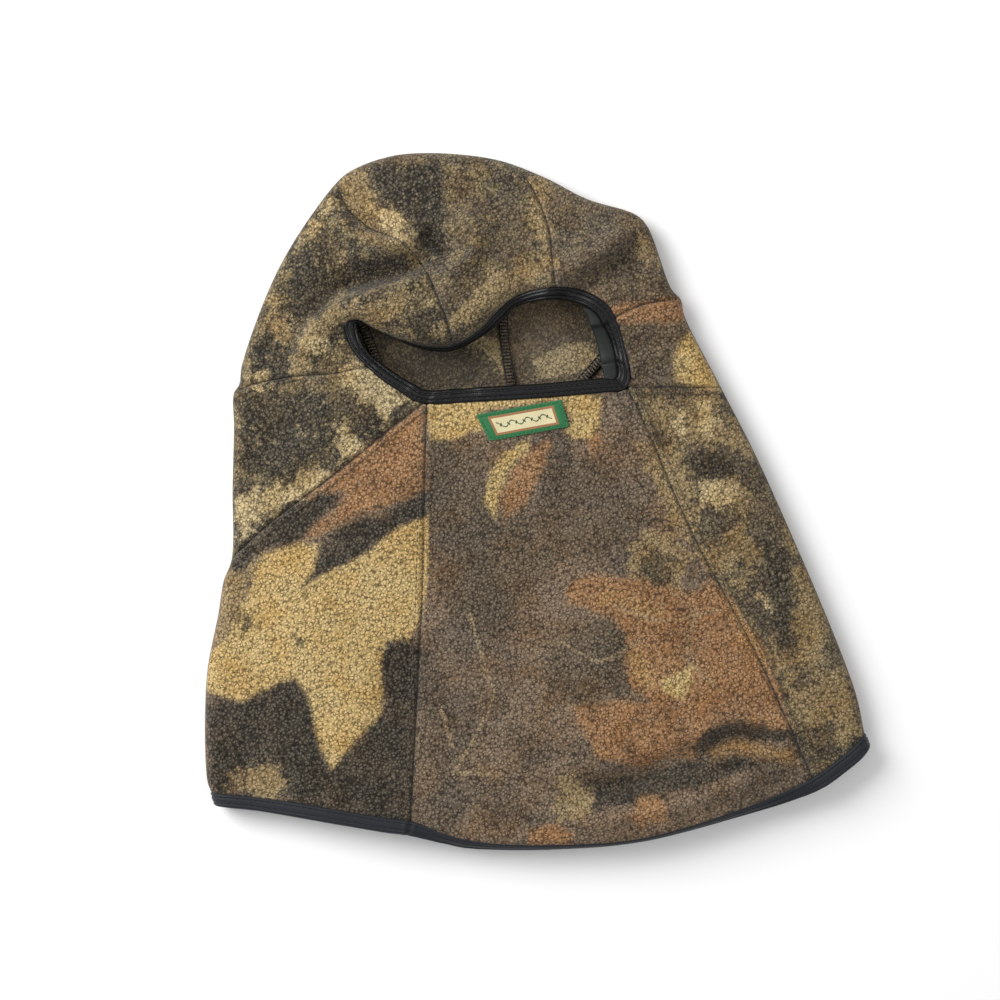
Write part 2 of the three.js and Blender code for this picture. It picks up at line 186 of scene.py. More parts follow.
DARK_LEAF = [
    [(-188, 200), (-178, 209), (-162, 217), (-138, 228), (-126, 230), (-113, 227), (-116, 221), (-131, 213),
     (-143, 206), (-165, 203), (-183, 194)],
    [(-149, 178), (-139, 187), (-132, 202), (-123, 207), (-103, 209), (-91, 208), (-82, 215), (-65, 217),
     (-68, 203), (-85, 201), (-94, 197), (-103, 193), (-113, 188), (-128, 185)],
    [(-25, 37), (-4, 36), (19, 34), (49, 37), (80, 35), (106, 33), (111, 27), (87, 26), (63, 24), (45, 21),
     (16, 19), (-13, 20), (-29, 27)],
    [(-159, 295), (-125, 288), (-108, 286), (-111, 257), (-134, 245), (-158, 244), (-168, 252)],
    [(-57, 406), (-21, 401), (-23, 374), (-28, 350), (-37, 339), (-40, 359), (-44, 370), (-51, 383),
     (-60, 392)],
    [(-147, 320), (-122, 332), (-120, 312), (-128, 296), (-149, 300)],
    [(-215, 125), (-195, 123), (-173, 128), (-161, 129), (-156, 119), (-155, 85), (-153, 74), (-133, 88),
     (-117, 101), (-110, 127), (-106, 138), (-89, 136), (-99, 92), (-115, 31), (-158, 51), (-179, 58),
     (-179, 74), (-190, 85), (-203, 85), (-217, 70), (-223, 83)],
]
GOLD_LEAF = [
    [(-166, 202), (-141, 204), (-132, 201), (-139, 187), (-149, 178), (-128, 185), (-113, 188), (-85, 201),
     (-68, 204), (-73, 179), (-84, 148), (-95, 137), (-106, 140), (-111, 129), (-117, 101), (-133, 89),
     (-152, 75), (-155, 86), (-156, 104), (-157, 120), (-162, 130), (-172, 129), (-194, 122), (-206, 128),
     (-216, 134), (-210, 153), (-196, 159), (-180, 179), (-172, 192)],
    [(-55, 269), (-3, 262), (21, 257), (42, 250), (38, 237), (32, 228), (22, 229), (17, 234), (23, 240),
     (19, 253), (-27, 256), (-26, 244), (-35, 246), (-44, 243), (-58, 246)],
    [(-3, 234), (-17, 231), (-29, 221), (-36, 206), (-31, 193), (-27, 207), (-17, 220), (-4, 229)],
    [(41, 85), (53, 87), (62, 89), (58, 81), (51, 71), (42, 78)],
    [(88, 264), (100, 277), (105, 270), (110, 252), (110, 239), (93, 245), (86, 250)],
]
TAN_BARK = [
    [(-183, 195), (-166, 202), (-172, 192), (-180, 179), (-195, 159), (-210, 152), (-203, 178),
     (-193, 193)],
    [(-212, 74), (-202, 84), (-189, 84), (-182, 77), (-180, 65), (-196, 64)],
    [(42, 162), (50, 167), (61, 165), (69, 156), (72, 146), (64, 136), (53, 134), (44, 137), (38, 147)],
    [(61, 217), (77, 217), (83, 199), (83, 181), (84, 163), (75, 160), (67, 173), (60, 186)],
    [(-26, 43), (-14, 43), (-12, 26), (-23, 14), (-30, 20)],
    [(64, 244), (78, 242), (77, 229), (68, 225), (61, 230)],
    [(84, 335), (92, 331), (91, 320), (82, 319)],
    [(-79, 405), (-62, 403), (-65, 392), (-53, 381), (-44, 367), (-41, 355), (-39, 346), (-45, 343),
     (-49, 352), (-62, 352), (-70, 361), (-74, 373), (-80, 388)],
    [(-98, 387), (-85, 390), (-88, 377), (-101, 368), (-109, 369)],
    [(-132, 343), (-125, 337), (-120, 317), (-131, 311), (-136, 327)],
    [(-90, 369), (-83, 369), (-84, 355), (-90, 342), (-87, 334), (-95, 332), (-96, 344), (-95, 358)],
    # Partly a painted highlight on the ridge over the face opening.
    [(-101, 328), (-89, 333), (-74, 332), (-48, 332), (-49, 326), (-68, 317), (-69, 308), (-79, 315),
     (-92, 320), (-110, 311), (-124, 297), (-125, 309), (-113, 322)],
    [(30, 379), (37, 376), (34, 352), (28, 334), (24, 336), (27, 359)],
    [(-19, 319), (13, 335), (34, 335), (34, 325), (10, 322), (-16, 308), (-34, 307)],
    [(79, 152), (101, 149), (97, 126), (90, 131)],
    [(58, 218), (78, 217), (83, 199), (84, 181), (84, 166), (75, 162), (67, 173), (60, 186)],
    [(114, 221), (120, 208), (129, 199), (123, 196), (108, 208)],
    [(87, 189), (110, 188), (114, 172), (92, 168), (83, 178)],
    [(130, 157), (138, 123), (142, 93), (134, 77), (123, 82), (129, 113)],
    [(128, 69), (147, 70), (148, 30), (137, 29), (138, 53)],
    [(108, 94), (115, 87), (116, 63), (112, 58), (107, 78)],
    [(112, 62), (124, 66), (136, 60), (134, 46), (120, 44), (112, 50)],
    [(120, 108), (134, 112), (138, 96), (126, 90), (118, 98)],
    [(96, 158), (106, 160), (112, 146), (104, 136), (96, 146)],
    [(66, 236), (90, 240), (106, 236), (108, 214), (96, 208), (78, 212)],
]
# Dark spots of the print, and painted shade in the fold above the hem and in the crown's creases and pocket.
DARK_SPOTS_AND_PAINTED_SHADE = [
    [(-186, 170), (-182, 171), (-180, 166), (-184, 163)],
    [(-157, 152), (-153, 153), (-151, 149), (-155, 147)],
    [(45, 154), (54, 158), (64, 151), (59, 140), (50, 137), (45, 145)],
    # Painted shade in the fold above the hem.
    [(54, 44), (60, 52), (74, 54), (86, 49), (109, 40), (111, 34), (90, 39), (77, 45), (65, 43), (57, 37)],
    [(-98, 265), (-86, 267), (-80, 259), (-86, 253), (-96, 255)],
    # The next three are painted shade in the crown's creases and in the hollow above the ridge over the
    # opening.
    [(-84, 355), (-68, 357), (-51, 350), (-45, 343), (-53, 338), (-68, 337), (-84, 334), (-89, 345)],
    [(-40, 362), (-27, 361), (-27, 347), (-38, 338), (-41, 349)],
    [(-112, 367), (-91, 377), (-84, 368), (-91, 337), (-106, 328), (-117, 333), (-121, 347)],
    [(-109, 134), (-96, 138), (-90, 130), (-96, 108), (-108, 105), (-114, 112)],
    [(81, 206), (101, 203), (111, 193), (99, 191), (88, 195)],
    [(119, 150), (128, 137), (120, 92), (112, 86), (112, 117)],
]
CREAM_BARK = [
    [(80, 233), (86, 236), (91, 229), (89, 219), (82, 217), (79, 224)],
    [(95, 232), (101, 234), (105, 228), (102, 217), (96, 214), (93, 222)],
    [(87, 189), (100, 189), (107, 182), (106, 171), (91, 169), (86, 178)],
    [(108, 118), (114, 118), (115, 107), (109, 105)],
    [(-100, 295), (-94, 295), (-81, 291), (-71, 281), (-66, 271), (-72, 264), (-81, 261), (-86, 272),
     (-93, 280), (-101, 284)],
    [(-108, 268), (-98, 263), (-99, 252), (-108, 246), (-111, 254)],
    [(-176, 226), (-165, 240), (-147, 239), (-135, 240), (-125, 244), (-120, 239), (-137, 231), (-159, 224),
     (-176, 216)],
    [(-63, 383), (-55, 381), (-46, 368), (-51, 361), (-59, 368), (-67, 377)],
    [(-97, 385), (-88, 388), (-91, 379), (-100, 374)],
    [(-112, 315), (-104, 314), (-108, 306), (-113, 308)],
    [(-149, 303), (-141, 302), (-144, 296), (-149, 297)],
    [(108, 118), (114, 118), (115, 107), (109, 105)],
]
DUSK = [
    [(-57, 246), (-30, 242), (-36, 203), (-29, 190), (-4, 200), (12, 222), (40, 214), (55, 175), (22, 159),
     (-12, 161), (-43, 126), (-68, 143), (-71, 179)],
    # Partly painted shade under the ridge on the right of the crown.
    [(35, 330), (55, 339), (83, 337), (89, 323), (77, 308), (55, 314), (42, 321)],
    [(64, 247), (93, 246), (113, 237), (109, 232), (94, 237), (72, 218), (61, 228)],
    [(81, 210), (116, 203), (125, 184), (112, 175), (99, 184), (95, 196), (82, 193)],
    [(85, 169), (117, 167), (131, 145), (123, 91), (111, 84), (102, 106), (96, 119), (103, 142), (86, 151)],
    [(-18, 121), (0, 124), (20, 127), (30, 110), (25, 83), (5, 79), (-9, 81), (-23, 89)],
]
GLOW = [
    [(19, 142), (40, 134), (51, 123), (42, 121), (29, 132), (16, 136)],
    [(27, 103), (34, 105), (38, 95), (38, 83), (31, 81), (26, 93)],
    [(61, 42), (76, 43), (90, 37), (107, 30), (107, 23), (91, 29), (75, 35), (61, 35)],
    [(88, 122), (92, 119), (100, 96), (103, 80), (98, 82), (92, 98), (88, 113)],
]
VEINS = [
    [(-57, 145), (-54, 111), (-53, 98), (-67, 77), (-85, 58)], [(-84, 96), (-82, 72)],
    [(-81, 57), (-59, 52)], [(-10, 119), (10, 103), (35, 110)], [(70, 120), (60, 95), (75, 70)],
    [(26, 131), (50, 118), (84, 117)],
]
# On the inside of the back, seen through the face opening.
CREAM_BARK_BACK = [
    [(-27, 303), (-11, 301), (-6, 288), (-7, 276), (-15, 280), (-22, 290)],
    [(3, 271), (13, 281), (32, 283), (50, 280), (47, 271), (22, 266)],
]
# Painted shade on the inside, under the rolled upper edge of the face opening.
SHADOW_BACK = [[(-70, 290), (-50, 280), (-25, 276), (-26, 290), (-45, 296), (-65, 300)]]


def leaf(rng, x, y, length):
    """A pointed leaf with a few teeth, as a closed outline."""
    turn = rng.uniform(0, 2 * math.pi)
    edge = []
    for k in range(14):
        a = 2 * math.pi * k / 14
        reach = length * (0.5 if k % 2 else 0.33) * rng.uniform(0.8, 1.2)
        px, py = reach * math.cos(a) * 1.25, reach * math.sin(a) * 0.7
        edge.append((x + px * math.cos(turn) - py * math.sin(turn),
                     y + px * math.sin(turn) + py * math.cos(turn)))
    return edge


def scattered(seed, count, length):
    """Leaves all over the back, but none where the face opening shows its inside."""
    rng = random.Random(seed)
    leaves = [(rng.uniform(-215, 145), rng.uniform(40, 400), rng.uniform(0.6, 1.4)) for _ in range(count)]
    return [leaf(rng, x, y, length * size) for x, y, size in leaves
            if math.hypot((x + 18) / 1.5, y - 288) > 62]


PRINT = {
    "gold": {FRONT: GOLD_LEAF, BACK: scattered(3, 9, 75)},
    "orange": {FRONT: ORANGE_LEAF, BACK: scattered(5, 8, 60)},
    "dark": {FRONT: DARK_LEAF, BACK: scattered(7, 10, 60)},
    "tan": {FRONT: TAN_BARK, BACK: scattered(11, 16, 34)},
    "cream": {FRONT: CREAM_BARK, BACK: CREAM_BARK_BACK + scattered(13, 12, 18)},
    "dark_spot_and_shade": {FRONT: DARK_SPOTS_AND_PAINTED_SHADE, BACK: SHADOW_BACK + scattered(17, 10, 18)},
    "glow": {FRONT: GLOW, BACK: []},
    "dusk": {FRONT: DUSK, BACK: scattered(19, 5, 70)},
}
# How much the panel shows mottled bark rather than plain ground, from 0 to 1.
BARK = {"crown_centre_strip": 0.72, "crown_side_left": 1.0, "crown_side_right": 0.45, "neck_side_left": 0.9,
        "neck_side_right": 0.3, "skirt_left": 0.08, "skirt_right": 0.65, "front_bib": 0.05}


# ---------------------------------------------------------------- plan geometry
def smooth(points, step=1.5, closed=False):
    """A centripetal curve through the points, sampled at even steps."""
    p = np.array(points, float)
    count = len(p)
    if closed:
        p = np.vstack([p[-1], p, p[0], p[1]])
    else:
        p = np.vstack([2 * p[0] - p[1], p, 2 * p[-1] - p[-2]])
    out = []
    for i in range(1, count + (1 if closed else 0)):
        p0, p1, p2, p3 = p[i - 1:i + 3]
        t = [0.0]
        for a, b in ((p0, p1), (p1, p2), (p2, p3)):
            t.append(t[-1] + max(np.linalg.norm(b - a), 1e-6) ** 0.5)
        steps = max(2, int(np.linalg.norm(p2 - p1) / step * 2))
        s = np.linspace(t[1], t[2], steps, endpoint=False)[:, None]
        a1 = (t[1] - s) / (t[1] - t[0]) * p0 + (s - t[0]) / (t[1] - t[0]) * p1
        a2 = (t[2] - s) / (t[2] - t[1]) * p1 + (s - t[1]) / (t[2] - t[1]) * p2
        a3 = (t[3] - s) / (t[3] - t[2]) * p2 + (s - t[2]) / (t[3] - t[2]) * p3
        b1 = (t[2] - s) / (t[2] - t[0]) * a1 + (s - t[0]) / (t[2] - t[0]) * a2
        b2 = (t[3] - s) / (t[3] - t[1]) * a2 + (s - t[1]) / (t[3] - t[1]) * a3
        out.append((t[2] - s) / (t[2] - t[1]) * b1 + (s - t[1]) / (t[2] - t[1]) * b2)
    out.append(p[-2:-1])
    return even(np.vstack(out), step)


def run_along(line):
    """Distance along the line at each of its points."""
    return np.concatenate([[0], np.cumsum(np.linalg.norm(np.diff(line, axis=0), axis=1))])


def even(line, step):
    """The same line with points at even steps."""
    length = run_along(line)
    s = np.linspace(0, length[-1], max(2, int(round(length[-1] / step)) + 1))
    return np.column_stack([np.interp(s, length, line[:, k]) for k in range(line.shape[1])])


def to_line(p, line):
    """For each point of p: distance to the line, share of its length at the nearest place, and whether the
    point is on its left (1) or right (-1)."""
    a, b = line[:-1], line[1:]
    ab = b - a
    reach = np.maximum((ab ** 2).sum(1), 1e-12)
    best = np.full(len(p), np.inf)
    share = np.zeros(len(p))
    side = np.ones(len(p))
    total = len(a)
    for i in range(total):
        w = p - a[i]
        t = np.clip((w @ ab[i]) / reach[i], 0, 1)
        d = ((w - t[:, None] * ab[i]) ** 2).sum(1)
        nearer = d < best
        best[nearer] = d[nearer]
        share[nearer] = (i + t[nearer]) / total
        side[nearer] = np.sign(ab[i, 0] * w[nearer, 1] - ab[i, 1] * w[nearer, 0])
    return np.sqrt(best), share, side


def inside(p, outline):
    """Whether each point lies inside the closed outline."""
    x, y = p[:, 0], p[:, 1]
    hit = np.zeros(len(p), bool)
    for (x0, y0), (x1, y1) in zip(outline, np.roll(outline, -1, axis=0)):
        crosses = (y0 > y) != (y1 > y)
        with np.errstate(divide="ignore", invalid="ignore"):
            hit ^= crosses & (x < (x1 - x0) * (y - y0) / (y1 - y0) + x0)
    return hit


def smoothstep(x, low, high):
    """An even change from 0 at low to 1 at high."""
    t = np.clip((x - low) / (high - low), 0, 1)
    return t * t * (3 - 2 * t)


def run_over(line, reach=3.0):
    """The line with both ends run on, so that it crosses the line it ends at."""
    start, end = line[0] - line[1], line[-1] - line[-2]
    return np.vstack([line[0] + start / np.linalg.norm(start) * reach, line,
                      line[-1] + end / np.linalg.norm(end) * reach])


fold_line = smooth(FOLD, 2.0)
hem_lines = {FRONT: smooth(FRONT_HEM, 1.5), BACK: smooth(BACK_HEM, 2.5)}
binding_outer = smooth(BINDING_OUTER, 1.2, closed=True)
seam_lines = {side: {name: run_over(smooth(points, 1.5)) for name, points in seams.items()}
              for side, seams in SEAMS.items()}
fold_lines = [(smooth(points, 4), height, left, right) for points, height, left, right in FOLDS]


def waves(p, seed, size):
    """Gentle unevenness between -1 and 1, made of a few crossing waves of about the given size."""
    rng = random.Random(seed)
    total = np.zeros(len(p))
    for _ in range(7):
        turn, phase = rng.uniform(0, math.pi), rng.uniform(0, 2 * math.pi)
        length = size * rng.uniform(0.7, 1.6)
        across = p[:, 0] * math.cos(turn) + p[:, 1] * math.sin(turn)
        total += np.sin(2 * math.pi * across / length + phase)
    return total / 7


# ---------------------------------------------------------------- heights
def height(p, side):
    """Height of the fleece's outer face above the table on the front or the back."""
    d = to_line(p, fold_line)[0]
    rim = FOLD_RADIUS * np.sqrt(1 - (1 - np.minimum(d, FOLD_RADIUS) / FOLD_RADIUS) ** 2)
    hem = to_line(p, hem_lines[side])[0]
    if side == BACK:
        # It lies on the table, but for its seams' grooves and the hem, which its binding lifts.
        seam = np.min([to_line(p, line)[0] for line in seam_lines[BACK].values()], axis=0)
        groove = 0.7 * np.exp(-(seam / 1.3) ** 2) * rim / FOLD_RADIUS
        lift = 1.4 * np.exp(-(hem / 9) ** 2)
        return FOLD_RADIUS - rim + (lift + groove + 0.35 * (1 + waves(p, 23, 60)) * smoothstep(d, 3, 30))
    # It swells from the fold, more at the crown than at the skirt.
    loft = SKIRT_LOFT + (CROWN_LOFT - SKIRT_LOFT) * smoothstep(p[:, 1], LENGTH * 0.3, LENGTH * 0.75)
    z = FOLD_RADIUS + rim + loft * (1 - np.exp(-(d / LOFT_REACH) ** 2))
    # Ridges, valleys and a gentle unevenness fade out towards the fold.
    ease = smoothstep(d, 0, 16)
    for line, rise, left, right in fold_lines:
        reach, share, hand = to_line(p, line)
        spread = np.where(hand > 0, left, right)
        taper = smoothstep(share, -0.02, 0.22) * smoothstep(1 - share, -0.02, 0.22)
        z += FOLD_DEPTH * rise * np.exp(-(reach / spread) ** 2) * taper * ease
    z += (0.8 * waves(p, 31, 70) + 0.35 * waves(p, 37, 26)) * ease
    # The upper edge of the face opening rolls down and in, and the lower edge tucks under its binding.
    lip, share, _ = to_line(p, binding_outer)
    rolled = smoothstep(share, 0.665, 0.72) * smoothstep(1 - share, 0.0, 0.03)
    t = np.clip(1 - lip / LIP_REACH, 0, 1)
    z -= rolled * LIP_DROP * (1 - np.sqrt(np.clip(1 - t ** 2, 0, 1)))
    z += rolled * 2.2 * np.exp(-((lip - 9) / 6) ** 2)
    tuck = 1 - smoothstep(lip, 0, 2.2)
    z -= (1 - rolled) * 0.8 * tuck
    # A seam is a narrow groove with a swell beside it, and its topstitching makes a second groove.
    for name, line in seam_lines[FRONT].items():
        seam = to_line(p, line)[0]
        z += ease_seam(d) * (0.75 * np.exp(-((seam - 2.6) / 1.6) ** 2) - 1.3 * np.exp(-(seam / 1.1) ** 2))
        if name.startswith(("bib", "yoke")):
            z -= ease_seam(d) * 0.4 * np.exp(-((seam - 4.2) / 0.8) ** 2)
    z -= 1.2 * (1 - smoothstep(hem, 0, 3)) * np.where(np.abs(p[:, 0] - 10) < 95, 1.0, 0.4)
    return z


def ease_seam(d):
    """Share of its depth that a seam keeps at this distance from the fold."""
    return 0.35 + 0.65 * smoothstep(d, 0, 8)


def on_surface(p, side, offset=0.0):
    """Points of the plan on the fleece's outer face, moved out along its normal."""
    p = np.atleast_2d(np.array(p, float))
    h = 0.4
    z = height(p, side)
    dzdx = (height(p + [h, 0], side) - height(p - [h, 0], side)) / (2 * h)
    dzdy = (height(p + [0, h], side) - height(p - [0, h], side)) / (2 * h)
    normal = np.column_stack([-dzdx, -dzdy, np.ones(len(p))]) * side
    normal /= np.linalg.norm(normal, axis=1)[:, None]
    return np.column_stack([p, z]) + normal * offset, normal


# ---------------------------------------------------------------- making meshes
def build_mesh(name, points, faces, materials):
    """A mesh object at the origin of the part's frame, from points in the pattern's frame."""
    placed = (np.array(points, float) + [SHIFT[0], SHIFT[1], 0]) * MM
    mesh = bpy.data.meshes.new(name)
    mesh.from_pydata(placed.tolist(), [], faces)
    mesh.update()
    for material in materials:
        mesh.materials.append(material)
    mesh.polygons.foreach_set("use_smooth", [True] * len(mesh.polygons))
    piece = bpy.data.objects.new(name, mesh)
    bpy.context.scene.collection.objects.link(piece)
    return piece


def give_attribute(piece, key, values):
    piece.data.attributes.new(key, "FLOAT", "POINT").data.foreach_set("value", values)


def select_only(piece):
    bpy.ops.object.select_all(action="DESELECT")
    piece.select_set(True)
    bpy.context.view_layer.objects.active = piece


def apply_modifiers(piece):
    select_only(piece)
    for modifier in list(piece.modifiers):
        bpy.ops.object.modifier_apply(modifier=modifier.name)


def rings(line, offsets, closed=False):
    """Parallels of a line at the given distances to its left."""
    ahead = np.roll(line, -1, axis=0) if closed else np.vstack([line[1:], line[-1:]])
    behind = np.roll(line, 1, axis=0) if closed else np.vstack([line[:1], line[:-1]])
    along = ahead - behind
    along /= np.maximum(np.linalg.norm(along, axis=1), 1e-9)[:, None]
    left = np.column_stack([-along[:, 1], along[:, 0]])
    return [line + left * offset for offset in offsets]


def laid_outline(side):
    return np.vstack([fold_line, hem_lines[side][::-1][1:-1]])


def layer_net(side):
    """The front or back layer as a flat net of triangles, split into panels along its seams."""
    outer = laid_outline(side)
    cuts = [np.vstack([outer, outer[:1]])]
    cuts += list(seam_lines[side].values())
    opening = binding_outer[:-1]
    if side == FRONT:
        cuts.append(binding_outer)
    vertices, edges = [], []
    for line in cuts:
        start = len(vertices)
        vertices += [tuple(q) for q in line]
        edges += [(start + i, start + i + 1) for i in range(len(line) - 1)]
    extra = []
    around = [FOLD_RADIUS * (1 - math.cos(math.pi / 2 * k / ROUND_STEPS)) for k in range(1, ROUND_STEPS + 1)]
    extra += rings(fold_line, [-r for r in around])
    for line in seam_lines[side].values():
        extra += rings(line, [-3.4, -2.2, -1.1, 1.1, 2.2, 3.4])
    if side == FRONT:
        extra += rings(opening, [-5.5, -3.8, -2.4, -1.2], closed=True)
    step = GRID[side]
    xs = np.arange(-228, 156, step)
    ys = np.arange(-6, 414, step * 0.866)
    grid = np.array([(x + (step / 2 if j % 2 else 0), y) for j, y in enumerate(ys) for x in xs])
    from_fold = to_line(grid, fold_line)[0] * 0.45
    near = np.min([to_line(grid, line)[0] for line in cuts[1:]] + [from_fold], axis=0)
    extra.append(grid[near > 3.9])
    extra = np.vstack(extra)
    keep = inside(extra, outer)
    if side == FRONT:
        keep &= ~inside(extra, opening)
    extra = extra[keep]
    clear = np.min([to_line(extra, line)[0] for line in cuts], axis=0)
    extra = thinned(extra[clear > 0.35])
    vertices += [tuple(q) for q in extra]
    made = delaunay_2d_cdt([Vector(q) for q in vertices], edges, [], 0, 1e-4)
    points = np.array([tuple(v) for v in made[0]])
    walls = {tuple(sorted(e)) for e, origin in zip(made[1], made[4]) if origin}
    faces = made[2]
    centres = points[np.array(faces)].mean(1)
    good = inside(centres, outer)
    if side == FRONT:
        good &= ~inside(centres, opening)
    by_edge = {}
    for i, face in enumerate(faces):
        if good[i]:
            for a, b in zip(face, face[1:] + face[:1]):
                by_edge.setdefault((min(a, b), max(a, b)), []).append(i)
    nets = {}
    for name, seeds in PANELS.items():
        if side not in seeds:
            continue
        seed = int(np.argmin(np.where(good, ((centres - seeds[side]) ** 2).sum(1), np.inf)))
        nets[name] = [faces[i] for i in sorted(reached(seed, faces, by_edge, walls))]
    return points, nets


def reached(seed, faces, by_edge, walls):
    """The faces that join on to the seed with no seam between."""
    found, waiting = {seed}, [seed]
    while waiting:
        face = faces[waiting.pop()]
        for a, b in zip(face, face[1:] + face[:1]):
            edge = (min(a, b), max(a, b))
            if edge in walls:
                continue
            for other in by_edge.get(edge, ()):
                if other not in found:
                    found.add(other)
                    waiting.append(other)
    return found


def thinned(points, least=0.7):
    """The points with those that crowd an earlier one left out."""
    kept, cells = [], {}
    for q in points:
        cell = (int(q[0] // least), int(q[1] // least))
        around = [(cell[0] + dx, cell[1] + dy) for dx in (-1, 0, 1) for dy in (-1, 0, 1)]
        crowd = [cells[c] for c in around if c in cells]
        if all((q[0] - o[0]) ** 2 + (q[1] - o[1]) ** 2 > least ** 2 for o in crowd):
            cells[cell] = q
            kept.append(q)
    return np.array(kept)


def print_distance(p, outlines):
    """How deep each point lies inside the nearest outline, in millimetres. Outside it is negative."""
    best = np.full(len(p), -60.0)
    for outline in outlines:
        closed = np.array(outline + outline[:1], float)
        low, high = closed.min(0) - 25, closed.max(0) + 25
        near = np.where(((p > low) & (p < high)).all(1))[0]
        if len(near):
            distance = to_line(p[near], closed)[0]
            signed = np.where(inside(p[near], closed[:-1]), distance, -distance)
            best[near] = np.maximum(best[near], signed)
    return best


def fleece_panels(materials):
    """Each panel as one sheet of fleece: its front, round the fold, and its back."""
    nets = {side: layer_net(side) for side in (FRONT, BACK)}
    veins = [smooth(points, 3) for points in VEINS]
    surfaces = {}
    for side, (points, _) in nets.items():
        patterns = {name: print_distance(points, shapes[side]) for name, shapes in PRINT.items()}
        reach = np.min([to_line(points, line)[0] for line in veins], axis=0) if side == FRONT else 60.0
        patterns["vein"] = np.maximum(1.0 - reach, -60.0) * np.ones(len(points))
        surfaces[side] = np.column_stack([points, height(points, side)]), patterns
    pieces = {}
    for name in PANELS:
        points, faces, values = [], [], {key: [] for key in (*PRINT, "vein")}
        for side, (_, by_panel) in nets.items():
            if name not in by_panel:
                continue
            surface, patterns = surfaces[side]
            used = sorted({v for face in by_panel[name] for v in face})
            index = {v: len(points) + k for k, v in enumerate(used)}
            points += surface[used].tolist()
            for key in values:
                values[key] += patterns[key][used].tolist()
            for face in by_panel[name]:
                turned = [index[v] for v in face]
                faces.append(turned if side == FRONT else turned[::-1])
        piece = build_mesh(name + "_fleece", points, faces, materials)
        for key, column in values.items():
            give_attribute(piece, key, column)
        give_attribute(piece, "bark", [BARK[name]] * len(points))
        joined = piece.modifiers.new("joined at the fold", "WELD")
        joined.merge_threshold = 0.02 * MM
        cloth = piece.modifiers.new("thickness", "SOLIDIFY")
        cloth.thickness = FLEECE * MM
        cloth.offset = -1
        cloth.material_offset = 1
        apply_modifiers(piece)
        pieces[name] = piece
    return pieces


# ---------------------------------------------------------------- materials
def linear(colour):
    """A hex sRGB colour as linear red, green, blue and alpha."""
    parts = [int(colour[i:i + 2], 16) / 255 for i in (1, 3, 5)]
    return [c / 12.92 if c <= 0.04045 else ((c + 0.055) / 1.055) ** 2.4 for c in parts] + [1.0]


def node(tree, kind, settings=None, **inputs):
    """Adds a node. Each input is a value or a socket to link, by its name with _ for a space, or by iN."""
    made = tree.nodes.new("ShaderNode" + kind)
    for key, value in (settings or {}).items():
        setattr(made, key, value)
    for key, value in inputs.items():
        numbered = key[0] == "i" and key[1:].isdigit()
        socket = made.inputs[int(key[1:])] if numbered else made.inputs[key.replace("_", " ")]
        if isinstance(value, bpy.types.NodeSocket):
            tree.links.new(value, socket)
        else:
            socket.default_value = value
    return made


def new_material(name):
    material = bpy.data.materials.new(name)
    material.use_nodes = True
    tree = material.node_tree
    tree.nodes.clear()
    return material, tree


def finish_material(tree, **inputs):
    shader = node(tree, "BsdfPrincipled", **inputs)
    tree.links.new(shader.outputs[0], node(tree, "OutputMaterial").inputs[0])
    return shader


def maths(tree, operation, *values):
    made = node(tree, "Math", {"operation": operation},
                **{f"i{k}": value for k, value in enumerate(values)})
    return made.outputs[0]


def mixed(tree, factor, a, b, blend="MIX"):
    made = node(tree, "Mix", {"data_type": "RGBA", "blend_type": blend}, i0=factor, i6=a, i7=b)
    return made.outputs[2]


# Brushed polyester fleece, printed and anti-pill finished: soft pile rolled up into crooked pebbles about a
# millimetre and a half across, with dark gaps between them, no gloss, and a faint glow where it turns away.
PEBBLE = 1.8  # millimetres, a little coarser than the real ones, so that they show
GROUND, GROUND_DARK = "#836f5b", "#64574a"
# Inks in the order they are printed: colour, softness and waver of the edge in millimetres, cover, and how
# much of the cover fades in places. Some also lay painted shade, and a painted highlight, in folds.
INKS = {
    "dusk": ("#554a3b", 7, 8.0, 0.6, 0.35), "dark": ("#322d25", 6.5, 4.5, 0.95, 0.25),
    "tan": ("#a08a62", 4.5, 12.0, 0.85, 0.35), "orange": ("#a57b52", 6, 3.2, 0.9, 0.45),
    "gold": ("#c6ab73", 4.5, 2.0, 1.0, 0.05), "glow": ("#b8935f", 8, 2.0, 0.7, 0.3),
    "cream": ("#c9b487", 3.5, 11.0, 0.85, 0.35),
    "dark_spot_and_shade": ("#2e281f", 4.5, 9.0, 0.85, 0.3), "vein": ("#ab9674", 1.6, 0.5, 0.65, 0.3)}


